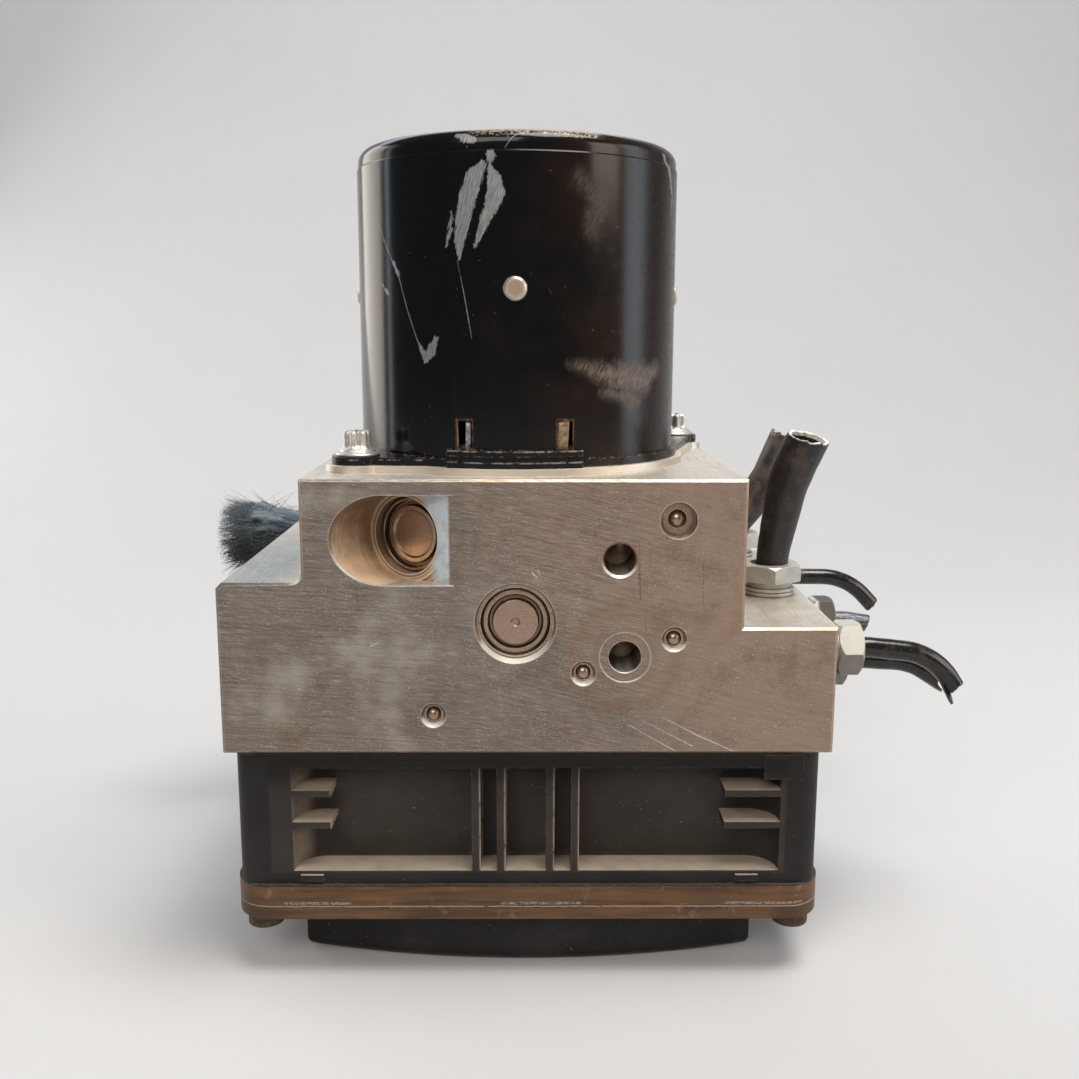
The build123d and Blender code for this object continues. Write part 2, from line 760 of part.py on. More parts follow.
def front_ribs(z, height):
    """Four upright ribs and two short shelves at each end of the front recess."""
    face = -housing_depth / 2
    middle = face + front_recess_depth / 2
    upright = block(upright_rib_width, front_recess_depth, height)
    ribs = [Pos(x, middle, z) * upright for x in upright_rib_places]
    ends = (
        (front_recess_shift - front_recess_width / 2, shelf_rib_length_left, 1),
        (front_recess_shift + front_recess_width / 2, shelf_rib_length_right, -1),
    )
    for x, length, side in ends:
        for drop in shelf_rib_drops:
            shelf = block(length, front_recess_depth, shelf_rib_thickness, block_z - drop - shelf_rib_thickness)
            ribs.append(Pos(x + side * length / 2, middle, 0) * shelf)
    return ribs


def front_trims():
    """Latch bumps on the lower flange and the proud cap of the right-hand pillar."""
    face = -housing_depth / 2
    latch_z = wall_z + (housing_bottom_flange - latch_height) / 2
    left = front_recess_shift - front_recess_width / 2 + latch_inset_left
    right = front_recess_shift + front_recess_width / 2 - latch_inset_right
    trims = []
    for x in (left, right):
        trims.append(Pos(x, face, 0) * block(latch_width, 2 * latch_stand, latch_height, latch_z))
    cap_x = housing_width / 2 - housing_corner - pillar_cap_width / 2
    cap_z = housing_top_z - pillar_cap_height
    trims.append(Pos(cap_x, face, 0) * block(pillar_cap_width, 2 * pillar_cap_stand, pillar_cap_height, cap_z))
    return trims


def partition_holes():
    """Holes in the plate under the coils: for the coil pins and for the motor's terminal post."""
    top = partition_z + 1
    height = partition_thickness + 2
    holes = []
    for x, y in inlet_places + outlet_places:
        for side in (-1, 1):
            pin_x = x + side * coil_pin_offset
            holes.append(Pos(pin_x, y, top - height) * disc(coil_pin_radius + loose_gap, height))
    holes.append(Pos(terminal_x, terminal_y, top - height) * disc(terminal_radius + loose_gap, height))
    return holes


def board_corners():
    x = cavity_width / 2 - board_margin - board_post_inset + board_post_radius
    y = cavity_depth / 2 - board_margin - board_post_inset + board_post_radius
    return [(sx * x, sy * y) for sx in (-1, 1) for sy in (-1, 1)]


def plug_socket():
    z = housing_top_z - 1
    return Pos(socket_place_x, socket_y, 0) * rounded(
        socket_width, socket_depth, socket_corner, socket_height + 1, z)


def socket_hollow():
    """Inside of the plug socket, the passage under it for the board's tail, and the contact holes."""
    floor = housing_top_z
    inner = rounded(
        socket_width - 2 * socket_wall, socket_depth - 2 * socket_wall, socket_corner - socket_wall / 2,
        socket_height + 1, floor)
    below = floor - socket_floor
    passage_end = socket_y + socket_depth / 2 - socket_wall
    passage_length = passage_end - cavity_depth / 2 + 2
    passage = block(socket_width - 2 * socket_wall, passage_length, below - seam_z + 1, seam_z - 1)
    hollow = [Pos(socket_place_x, socket_y, 0) * inner]
    hollow.append(Pos(socket_place_x, passage_end - passage_length / 2, 0) * passage)
    hole = disc(contact_radius + slip_gap, socket_floor + 2, below - 1)
    return hollow + [Pos(x, y, 0) * hole for x, y in contact_places()]


def contact_places():
    places = []
    for column in range(contact_columns):
        for row in range(contact_rows):
            x = socket_place_x + (column - (contact_columns - 1) / 2) * contact_pitch
            places.append((x, socket_y + (row - (contact_rows - 1) / 2) * contact_pitch))
    return places


def plug_contacts():
    bottom = board_z + board_thickness
    pin = disc(contact_radius, housing_top_z + contact_rise - bottom, bottom)
    return group(at_places(pin, contact_places()))


def circuit_board():
    """Board on its four posts, with a tail to the socket and parts on its underside."""
    length = cavity_width - 2 * board_margin
    board = rounded(length, cavity_depth - 2 * board_margin, board_corner, board_thickness, board_z)
    tail_end = socket_y + socket_depth / 2 - socket_wall - board_margin
    tail = block(socket_width - 2 * socket_wall - 2 * board_margin, tail_end, board_thickness, board_z)
    board += Pos(socket_place_x, tail_end / 2, 0) * tail
    for (x, y), (length, depth, height) in zip(chip_places, chip_sizes):
        board += Pos(x, y, 0) * block(length, depth, height, board_z - height)
    return board


def ecu_lid():
    """Lid: a rim plate welded to the housing's rim and a bowed bulge that the unit stands on."""
    rim = Pos(0, 0, rim_z) * extrude(unit_outline(rim_width, rim_depth, rim_corner), lid_rim_height)
    bulge = extrude(bulge_outline(0), rim_z + 1)
    bulge = fillet(bulge.faces().sort_by(Axis.Z)[0].edges(), bulge_edge)
    hollow = Pos(0, 0, lid_wall) * extrude(bulge_outline(lid_wall), seam_z)
    hollow = fillet(hollow.faces().sort_by(Axis.Z)[0].edges(), bulge_edge - lid_wall / 2)
    lid = rim + bulge - hollow
    return lid - screw_holes(lid_rim_height + 2, rim_z - 1)


def bulge_outline(margin):
    """Plan of the bulge: straight sides, bowed front and rear."""
    x = bulge_width / 2 - margin
    y = bulge_depth / 2 - margin
    side_y = y - bulge_sagitta
    line = Line((-x, -side_y), (-x, side_y)) + ThreePointArc((-x, side_y), (0, y), (x, side_y))
    line += Line((x, side_y), (x, -side_y)) + ThreePointArc((x, -side_y), (0, -y), (-x, -side_y))
    return make_face(line)


def housing_seal():
    """Flat gasket between the block and the electronic unit."""
    inset = 1.6
    plate = RectangleRounded(housing_width - 2 * inset, housing_depth - 2 * inset, housing_corner)
    seal = Pos(0, 0, housing_top_z) * extrude(plate, seal_thickness)
    seal -= rounded(cavity_width, cavity_depth, cavity_corner, seal_thickness + 2, housing_top_z - 1)
    return seal - screw_holes(seal_thickness + 2, housing_top_z - 1)


def ecu_screws():
    top = block_z + ecu_screw_grip
    screw = disc(ecu_screw_radius, top - rim_z + 1, rim_z - 1)
    screw += disc(ecu_screw_head_radius, ecu_screw_head_height, rim_z - ecu_screw_head_height)
    screw -= hexagon(4.0, 1.8, rim_z - ecu_screw_head_height)
    return group(at_places(screw, screw_places))


def motor_can():
    """Drawn steel can: flange with two ears, front bar, two windows, four dimples and the bearing boss."""
    step_z = can_top_z - can_step_drop
    can = turned([
        (0, seat_z), (can_radius, seat_z), (can_radius, step_z), (can_radius - can_step, step_z + can_step),
        (can_radius - can_step, can_top_z), (0, can_top_z),
    ])
    can = fillet(can.edges().filter_by(GeomType.CIRCLE).sort_by(Axis.Z)[-1], can_top_edge)
    can += disc(boss_radius, boss_height + 1, can_top_z - 1)
    can = fillet(can.edges().filter_by(GeomType.CIRCLE).sort_by(Axis.Z)[-1], 1.0)
    can += Pos(0, 0, seat_z) * extrude(ear_outline(flange_radius, 0), flange_thickness)
    bar = disc(can_bar_radius, can_bar_height, seat_z)
    bar -= tube(can_bar_radius + 1, can_bar_radius - 0.7, 1.2, seat_z + 1.3)
    keep = Pos(can_bar_shift, -can_radius, 0) * block(can_bar_width, can_radius, can_bar_height, seat_z)
    can += bar & keep
    can += dimples()
    can -= disc(can_inner_radius, can_height - can_wall + 1, seat_z - 1)
    can -= disc(bearing_outer_radius + slip_gap, bearing_thickness, upper_bearing_z)
    for side in (-1, 1):
        window = block(can_window_width, 3 * can_wall, can_window_height, seat_z + can_bar_height + 0.2)
        can -= Pos(can_bar_shift + side * can_window_offset, -can_radius + can_wall, 0) * window
    bolt_hole = disc(motor_bolt_radius + screw_gap, flange_thickness + 2, seat_z - 1)
    for x, y in bolt_places:
        can -= Pos(x - motor_x, y - motor_y, 0) * bolt_hole
    return Pos(motor_x, motor_y, 0) * can


def dimples():
    z = seat_z + dimple_height
    stud = disc(dimple_radius, can_wall + dimple_stand, can_radius - can_wall)
    stud = chamfer(stud.edges().filter_by(GeomType.CIRCLE).sort_by(Axis.Z)[-1], dimple_stand * 0.6)
    return [Pos(0, 0, z) * Rot(0, 0, angle) * Rot(90, 0, 0) * stud for angle in (0, 90, 180, 270)]


def motor_magnets():
    outer = can_inner_radius - slip_gap
    ring = tube(outer, outer - magnet_thickness, magnet_height, seat_z + magnet_base)
    reach = 2 * outer
    half_width = reach * tan(radians(magnet_angle / 2))
    keep = Polyline((0, 0), (reach, -half_width), (reach, half_width), close=True)
    wedge = Pos(0, 0, seat_z) * extrude(make_face(keep), can_height)
    magnet = ring & wedge
    magnets = [Pos(motor_x, motor_y, 0) * Rot(0, 0, angle) * magnet for angle in (0, 90, 180, 270)]
    return group(magnets)


def brush_plate():
    """Insulating end plate in the mouth of the can, with a guide for each brush."""
    plate = tube(can_inner_radius - slip_gap, chamber_radius, brush_plate_thickness, seat_z)
    guide_length = brush_length + brush_spring_length
    wall = brush_guide_wall
    outer = block(guide_length + wall, brush_width + 2 * wall, brush_lift + brush_height + wall,
                  seat_z + brush_plate_thickness - 0.5)
    outer = Pos(brush_start + 1.5 + (guide_length + wall) / 2, 0, 0) * outer
    inner = block(guide_length + 4, brush_width + 2 * running_gap, brush_height + 2 * running_gap,
                  brush_z - brush_height / 2 - running_gap)
    inner = Pos(brush_start + guide_length / 2 - 2, 0, 0) * inner
    for half in (0, 180):
        plate += Rot(0, 0, half) * outer
        plate -= Rot(0, 0, half) * inner
    plate -= Pos(terminal_x - motor_x, terminal_y - motor_y, 0) * disc(terminal_radius + slip_gap, 20, seat_z - 1)
    return Pos(motor_x, motor_y, 0) * plate


def brush(side):
    body = block(brush_length, brush_width, brush_height, brush_z - brush_height / 2)
    body = Pos(brush_start + brush_length / 2, 0, 0) * body
    body -= disc(commutator_radius + slip_gap, can_height, seat_z)
    return Pos(motor_x, motor_y, 0) * Rot(0, 0, 0 if side > 0 else 180) * body


def brush_spring(side):
    spring = coil_spring(brush_spring_radius, brush_spring_wire, brush_spring_turns, brush_spring_length)
    spring = Pos(brush_start + brush_length, 0, brush_z) * Rot(0, 90, 0) * spring
    return Pos(motor_x, motor_y, 0) * Rot(0, 0, 0 if side > 0 else 180) * spring


def ball_bearing(z):
    """Shielded ball bearing drawn as one ring with its shield grooves."""
    inner = shaft_radius + slip_gap
    outer = bearing_outer_radius
    low = bearing_groove
    high = bearing_thickness - bearing_groove
    ring = turned([
        (inner, 0), (inner + bearing_race, 0), (inner + bearing_race, low), (outer - bearing_race, low),
        (outer - bearing_race, 0), (outer, 0), (outer, bearing_thickness),
        (outer - bearing_race, bearing_thickness), (outer - bearing_race, high), (inner + bearing_race, high),
        (inner + bearing_race, bearing_thickness), (inner, bearing_thickness),
    ])
    return Pos(motor_x, motor_y, z) * ring


def motor_shaft():
    """Shaft with its eccentric journal, from the lower bearing to the upper one."""
    bottom = bearing_seat_z - bearing_thickness - 1.5
    top = upper_bearing_z + bearing_thickness - slip_gap
    shaft = disc(shaft_radius, top - bottom, bottom)
    journal = disc(eccentric_radius, eccentric_height, pump_z - eccentric_height / 2)
    journal = Pos(0, -eccentric_throw, 0) * journal
    hub_start = pump_z + eccentric_height / 2
    shaft += disc(hub_radius, seat_z + commutator_base - hub_start, hub_start)
    return Pos(motor_x, motor_y, 0) * (shaft + journal)


def eccentric_bearing():
    ring = tube(ring_outer_radius, eccentric_radius + running_gap, ring_height, pump_z - ring_height / 2)
    return Pos(motor_x, motor_y - eccentric_throw, 0) * ring


def slot_plan(gap):
    """One winding slot of the armature, opened to the rim by its narrow mouth."""
    bottom = core_radius - tooth_tip - slot_depth
    slot = Pos(bottom + slot_depth / 2, 0) * Rectangle(slot_depth - 2 * gap, slot_width - 2 * gap)
    if gap == 0:
        slot += Pos(core_radius, 0) * Rectangle(2 * tooth_tip + 1, slot_mouth)
    return slot


def armature_core():
    """Laminated core with twelve slots."""
    plan = Circle(core_radius) - Circle(shaft_radius + slip_gap)
    for i in range(core_slots):
        plan -= Rot(0, 0, i * 360 / core_slots) * slot_plan(0)
    return Pos(motor_x, motor_y, seat_z + core_base) * extrude(plan, core_height)


def armature_winding():
    """Copper in the slots, joined by the rounded end turns above and below the core."""
    ring = turned([
        (winding_inner_radius, 0), (winding_outer_radius, 0), (winding_outer_radius, winding_overhang * 0.5),
        (winding_outer_radius - 2.4, winding_overhang), (winding_inner_radius + 2.0, winding_overhang),
        (winding_inner_radius, winding_overhang * 0.6),
    ])
    lift = slip_gap
    winding = Pos(0, 0, core_height + lift) * ring
    winding += Pos(0, 0, -lift) * mirror(ring, Plane.XY)
    for i in range(core_slots):
        winding += Rot(0, 0, i * 360 / core_slots) * (
            Pos(0, 0, -lift - 0.5) * extrude(slot_plan(winding_gap), core_height + 2 * lift + 1))
    return Pos(motor_x, motor_y, seat_z + core_base) * winding


def commutator():
    ring = tube(commutator_radius, shaft_radius + slip_gap, commutator_height, commutator_z)
    riser = tube(commutator_radius + 1.2, commutator_radius - 1, 1.6, commutator_z + commutator_height - 1.6)
    ring += riser
    slit = block(2.4, commutator_slit, commutator_height + 2, commutator_z - 1)
    slit = Pos(commutator_radius + 0.5, 0, 0) * slit
    for i in range(commutator_bars):
        ring -= Rot(0, 0, i * 360 / commutator_bars) * slit
    return Pos(motor_x, motor_y, 0) * ring


def terminal_post():
    """Insulated post that carries the motor's current down through the block to the board."""
    bottom = board_z + board_thickness
    top = seat_z + brush_plate_thickness + terminal_head_height
    post = disc(terminal_radius, top - bottom, bottom)
    post += disc(terminal_head_radius, terminal_head_height, seat_z + brush_plate_thickness)
    return Pos(terminal_x, terminal_y, 0) * post


def motor_bolts():
    """Flanged bolts with six-lobed heads."""
    base = seat_z + flange_thickness
    bolt = disc(motor_bolt_radius, motor_bolt_grip + flange_thickness + 1, seat_z - motor_bolt_grip)
    bolt += turned([
        (0, base), (bolt_flange_radius, base), (bolt_flange_radius, base + bolt_flange_height * 0.6),
        (bolt_head_radius + 0.3, base + bolt_flange_height), (0, base + bolt_flange_height),
    ])
    head = disc(bolt_head_radius, bolt_head_height, base + bolt_flange_height)
    for i in range(6):
        head -= Rot(0, 0, i * 60) * Pos(bolt_head_radius + bolt_lobe_radius * 0.45, 0, 0) * disc(
            bolt_lobe_radius, bolt_head_height, base + bolt_flange_height)
    head -= disc(bolt_head_radius * 0.45, 0.6, base + bolt_flange_height + bolt_head_height - 0.6)
    return group(at_places(bolt + head, bolt_places))


def union_washers():
    washer = tube(union_washer_radius, union_shank_radius + slip_gap, union_washer_thickness - slip_gap)
    washer = chamfer(washer.edges().filter_by(GeomType.CIRCLE).group_by(SortBy.RADIUS)[-1], 0.2)
    washers = []
    for x, y in union_places:
        for i in range(union_washer_count):
            washers.append(Pos(x, y, right_shoulder_z + i * union_washer_thickness) * washer)
    return group(washers)


union_base_z = right_shoulder_z + union_washer_count * union_washer_thickness
union_top_z = union_base_z + union_collar_height + union_hex_height


def suction_unions():
    """Hollow screws of the suction lines: shank, collar and hexagon round the line's end."""
    union = disc(union_shank_radius, union_base_z - right_shoulder_z + union_shank_length + 1,
                 right_shoulder_z - union_shank_length)
    union += disc(union_collar_radius, union_collar_height, union_base_z)
    head = Rot(0, 0, 30) * hexagon(union_hex, union_hex_height, union_base_z + union_collar_height)
    cone = turned([
        (0, union_base_z), (union_hex / 2 + 0.1, union_base_z), (union_hex / 2 + 1.3, union_base_z + 2.4),
        (union_hex / 2 + 1.3, union_top_z - 0.9), (union_hex / 2 + 0.2, union_top_z), (0, union_top_z),
    ])
    union += head & cone
    union -= disc(suction_radius + slip_gap, suction_stub, union_top_z - suction_stub)
    union -= disc(suction_radius - suction_wall, 40, right_shoulder_z - 20)
    return group(at_places(union, union_places))


def suction_tube(place, route):
    """Cut suction line: an upright end in its union, a bent run and a last stretch that widens."""
    start = Vector(0, 0, union_top_z - suction_stub)
    corners = [start] + [Vector(x, y, union_top_z + up) for x, y, up, bend in route]
    path = FilletPolyline(*corners, radius=[bend for x, y, up, bend in route[:-1]])
    section = Plane(origin=path @ 0, z_dir=path % 0)
    outer = sweep(section * Circle(suction_radius), path)
    bore = sweep(section * Circle(suction_radius - suction_wall), path)
    end = path @ 1
    tilt = path % 1
    flare_length = 0.7 * (corners[-1] - corners[-2]).length
    tip = Plane(origin=end - tilt * flare_length, z_dir=tilt)
    mouth = suction_radius + suction_flare
    flare = Solid.make_cone(suction_radius - 0.02, mouth, flare_length, plane=tip)
    throat = Solid.make_cone(suction_radius - suction_wall, mouth - suction_wall, flare_length, plane=tip)
    shape = outer + flare - bore - throat
    level = Plane(origin=end, x_dir=Vector(0, 1, 0).cross(tilt), z_dir=tilt)
    cutter = level * (Rot(0, suction_cut, 0) * block(40, 40, 20, -suction_trim))
    return Pos(*place, 0) * (shape - cutter)


def brake_nut():
    """Male flare nut on its port axis: z = 0 at the block's face."""
    nut = disc(port_radius, nut_shank_length + 1, -nut_shank_length)
    nut += disc(nut_collar_radius, nut_collar_length)
    head = hexagon(nut_hex, nut_hex_length, nut_collar_length)
    end = nut_collar_length + nut_hex_length
    cone = turned([
        (0, nut_collar_length), (nut_hex / 2, nut_collar_length), (nut_hex / 2 + 0.9, nut_collar_length + 1),
        (nut_hex / 2 + 0.9, end - 0.7), (nut_hex / 2, end), (0, end),
    ])
    nut += head & cone
    return nut - disc(pipe_radius + slip_gap, 40, -20)


def brake_nuts():
    return group([frame * brake_nut() for frame in port_frames])


def pipe_along(frame, route, slant):
    """Cut brake pipe with its flare in its port, then along a route given from the port's face."""
    inside = Vector(0, 0, -nut_shank_length - 2.2)
    corners = [inside] + [Vector(-aside, -down, out) for out, aside, down, bend in route]
    bends = [bend for out, aside, down, bend in route[:-1]]
    path = FilletPolyline(*corners, radius=bends)
    start = Plane(origin=path @ 0, z_dir=path % 0)
    pipe = sweep(start * Circle(pipe_radius), path)
    bore = sweep(start * Circle(pipe_radius - pipe_wall), path)
    flare = Pos(0, 0, inside.Z) * Cone(
        pipe_radius + 1.4, pipe_radius, 2.2, align=(Align.CENTER, Align.CENTER, Align.MIN))
    shape = pipe + flare - bore
    tip = Plane(origin=path @ 1, x_dir=Vector(0, 1, 0).cross(path % 1), z_dir=path % 1)
    shape -= tip * (Rot(slant, 0, 0) * block(30, 30, 20, -pipe_radius * 0.55))
    return frame * shape


def brake_pipes():
    routes = {"a": pipe_a_route, "b": pipe_b_route, "c": pipe_c_route, "d": pipe_d_route}
    return {
        letter: pipe_along(frame, route, cut_slants[letter])
        for frame, (letter, route) in zip(port_frames, routes.items())
    }


def harness_plug():
    """Plug in the rear socket: a skirt over the contacts and a wire cover that leads to the left."""
    outer_length = socket_width - 2 * socket_wall - 2 * loose_gap
    outer_depth = socket_depth - 2 * socket_wall - 2 * loose_gap
    corner = socket_corner - socket_wall / 2 - loose_gap / 2
    top = housing_top_z + socket_height
    skirt = rounded(outer_length, outer_depth, corner, plug_depth_in_socket + 1, top - plug_depth_in_socket)
    cover = rounded(
        socket_width + plug_overhang, socket_depth + plug_overhang, socket_corner, plug_rise, top + loose_gap)
    cover = fillet(cover.faces().sort_by(Axis.Z)[-1].edges(), 3.5)
    hollow = rounded(outer_length - 2 * plug_grip_wall, outer_depth - 2 * plug_grip_wall, corner / 2,
                     plug_depth_in_socket, top - plug_depth_in_socket - 1)
    body = skirt + cover - hollow
    body = Pos(socket_place_x, socket_y, 0) * body
    collar = Rot(0, -90, 0) * disc(loom_collar_radius, loom_collar_length + 3, -3)
    body += Pos(plug_left_x(), socket_y, block_z + loom_height) * collar
    socket = Rot(0, -90, 0) * disc(loom_radius + slip_gap, loom_collar_length + 1)
    return body - Pos(plug_left_x(), socket_y, block_z + loom_height) * socket


def plug_left_x():
    return socket_place_x - (socket_width + plug_overhang) / 2


def harness_loom():
    """Taped loom cut short: it leaves the plug's collar and flares out at its frayed end."""
    length = loom_length + loom_collar_length
    start = Plane(origin=(plug_left_x(), socket_y, block_z + loom_height), x_dir=(0, 1, 0), z_dir=(-1, 0, 0))
    sections = []
    for share, radius, lift in (
        (0, loom_radius, 0), (0.35, loom_radius, 0), (0.6, loom_radius * 1.08, 0.25),
        (0.85, loom_flare_radius * 0.88, 0.7), (1, loom_flare_radius, 1),
    ):
        up = start.y_dir.Z * loom_lift * lift
        sections.append(start * Pos(0, up, share * length) * Circle(radius))
    straight = start * disc(loom_radius, 0.35 * length)
    return straight + loft(sections[1:], ruled=True)


def save(name, shape):
    """Write one sub-part."""
    export_step(shape, f"parts/{name}.step")


def build():
    parts = {
        "hydraulic_block": hydraulic_block(),
        "ball_plugs": ball_plugs(),
        "damper_plugs": damper_plugs(),
        "accumulator_caps": accumulator_caps(),
        "valve_bodies": group(at_places(valve_body(), inlet_places + outlet_places, block_z)),
        "solenoid_coils": group(at_places(solenoid_coil(), inlet_places + outlet_places, partition_z)),
        "ecu_housing": ecu_housing(),
        "plug_contacts": plug_contacts(),
        "circuit_board": circuit_board(),
        "ecu_lid": ecu_lid(),
        "housing_seal": housing_seal(),
        "ecu_screws": ecu_screws(),
        "motor_can": motor_can(),
        "motor_magnets": motor_magnets(),
        "brush_plate": brush_plate(),
        "upper_bearing": ball_bearing(upper_bearing_z),
        "lower_bearing": ball_bearing(bearing_seat_z - bearing_thickness),
        "motor_shaft": motor_shaft(),
        "eccentric_bearing": eccentric_bearing(),
        "armature_core": armature_core(),
        "armature_winding": armature_winding(),
        "commutator": commutator(),
        "terminal_post": terminal_post(),
        "motor_bolts": motor_bolts(),
        "suction_unions": suction_unions(),
        "union_washers": union_washers(),
        "brake_nuts": brake_nuts(),
        "harness_plug": harness_plug(),
        "harness_loom": harness_loom(),
    }
    for end, frame in pump_frames.items():
        parts[f"pump_sleeve_{end}"] = pump_sleeve(frame)
        parts[f"pump_piston_{end}"] = pump_piston(frame)
        parts[f"pump_spring_{end}"] = pump_spring(frame)
        parts[f"pump_plug_{end}"] = pump_plug(frame)
    for hand, side in (("left", -1), ("right", 1)):
        parts[f"accumulator_piston_{hand}"] = accumulator_piston(side * accumulator_x)
        parts[f"accumulator_spring_{hand}"] = accumulator_spring(side * accumulator_x)
        parts[f"brush_{hand}"] = brush(side)
        parts[f"brush_spring_{hand}"] = brush_spring(side)
    for number, (inlet, outlet) in enumerate(zip(inlet_places, outlet_places), start=1):
        parts[f"inlet_plunger_{number}"] = plunger(inlet, shut=False)
        parts[f"outlet_plunger_{number}"] = plunger(outlet, shut=True)
    parts["suction_tube_front"] = suction_tube(union_places[0], suction_route_front)
    parts["suction_tube_rear"] = suction_tube(union_places[1], suction_route_rear)
    for name, pipe in brake_pipes().items():
        parts[f"brake_pipe_{name}"] = pipe
    return parts


for part_name, part_shape in build().items():
    save(part_name, part_shape)
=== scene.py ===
import json
import math
import random

import bmesh
import bpy
from mathutils import Matrix, Vector, noise


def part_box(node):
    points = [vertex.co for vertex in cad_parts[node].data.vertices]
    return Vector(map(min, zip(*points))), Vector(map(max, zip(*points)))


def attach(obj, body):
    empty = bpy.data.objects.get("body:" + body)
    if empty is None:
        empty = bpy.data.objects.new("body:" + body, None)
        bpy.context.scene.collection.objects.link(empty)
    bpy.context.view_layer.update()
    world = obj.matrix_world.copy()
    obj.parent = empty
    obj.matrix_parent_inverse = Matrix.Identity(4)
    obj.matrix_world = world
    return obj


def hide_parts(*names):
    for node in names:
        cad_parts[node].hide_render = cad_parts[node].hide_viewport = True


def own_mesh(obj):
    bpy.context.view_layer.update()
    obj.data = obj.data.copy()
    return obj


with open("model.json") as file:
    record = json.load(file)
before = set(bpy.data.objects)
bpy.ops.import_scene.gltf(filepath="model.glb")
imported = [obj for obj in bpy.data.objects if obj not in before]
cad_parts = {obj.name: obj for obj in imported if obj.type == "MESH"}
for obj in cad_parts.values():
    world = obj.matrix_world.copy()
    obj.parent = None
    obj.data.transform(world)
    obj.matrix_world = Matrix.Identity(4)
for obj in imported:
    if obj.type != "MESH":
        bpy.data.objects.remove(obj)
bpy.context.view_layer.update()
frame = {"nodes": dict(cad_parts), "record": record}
mm = 0.001
nodes = frame["nodes"]


# Shader graph helpers


class Value:  # one output of a node; its operators add Math nodes
    def __init__(self, graph, socket):
        self.graph = graph
        self.socket = socket

    def maths(self, operation, *values, clamp=False):
        settings = {"operation": operation, "use_clamp": clamp}
        return self.graph.node("ShaderNodeMath", settings, dict(enumerate(values)))

    def size(self):
        return self.maths("ABSOLUTE", self)

    def under(self, other):  # the smaller of the two
        return self.maths("MINIMUM", self, other)

    def over(self, other):  # the larger of the two
        return self.maths("MAXIMUM", self, other)

    def step(self, low, high):  # smooth 0 to 1 between two levels
        limits = {"Value": self, "From Min": low, "From Max": high}
        return self.graph.node("ShaderNodeMapRange", {"interpolation_type": "SMOOTHSTEP"}, limits)

    def window(self, low, high, soft):  # 1 between two levels
        return self.step(low - soft, low) * (1 - self.step(high, high + soft))


def operator(operation, turned):
    return lambda a, b: a.maths(operation, b, a) if turned else a.maths(operation, a, b)


for word, operation in {"add": "ADD", "sub": "SUBTRACT", "mul": "MULTIPLY", "truediv": "DIVIDE"}.items():
    setattr(Value, f"__{word}__", operator(operation, False))
    setattr(Value, f"__r{word}__", operator(operation, True))


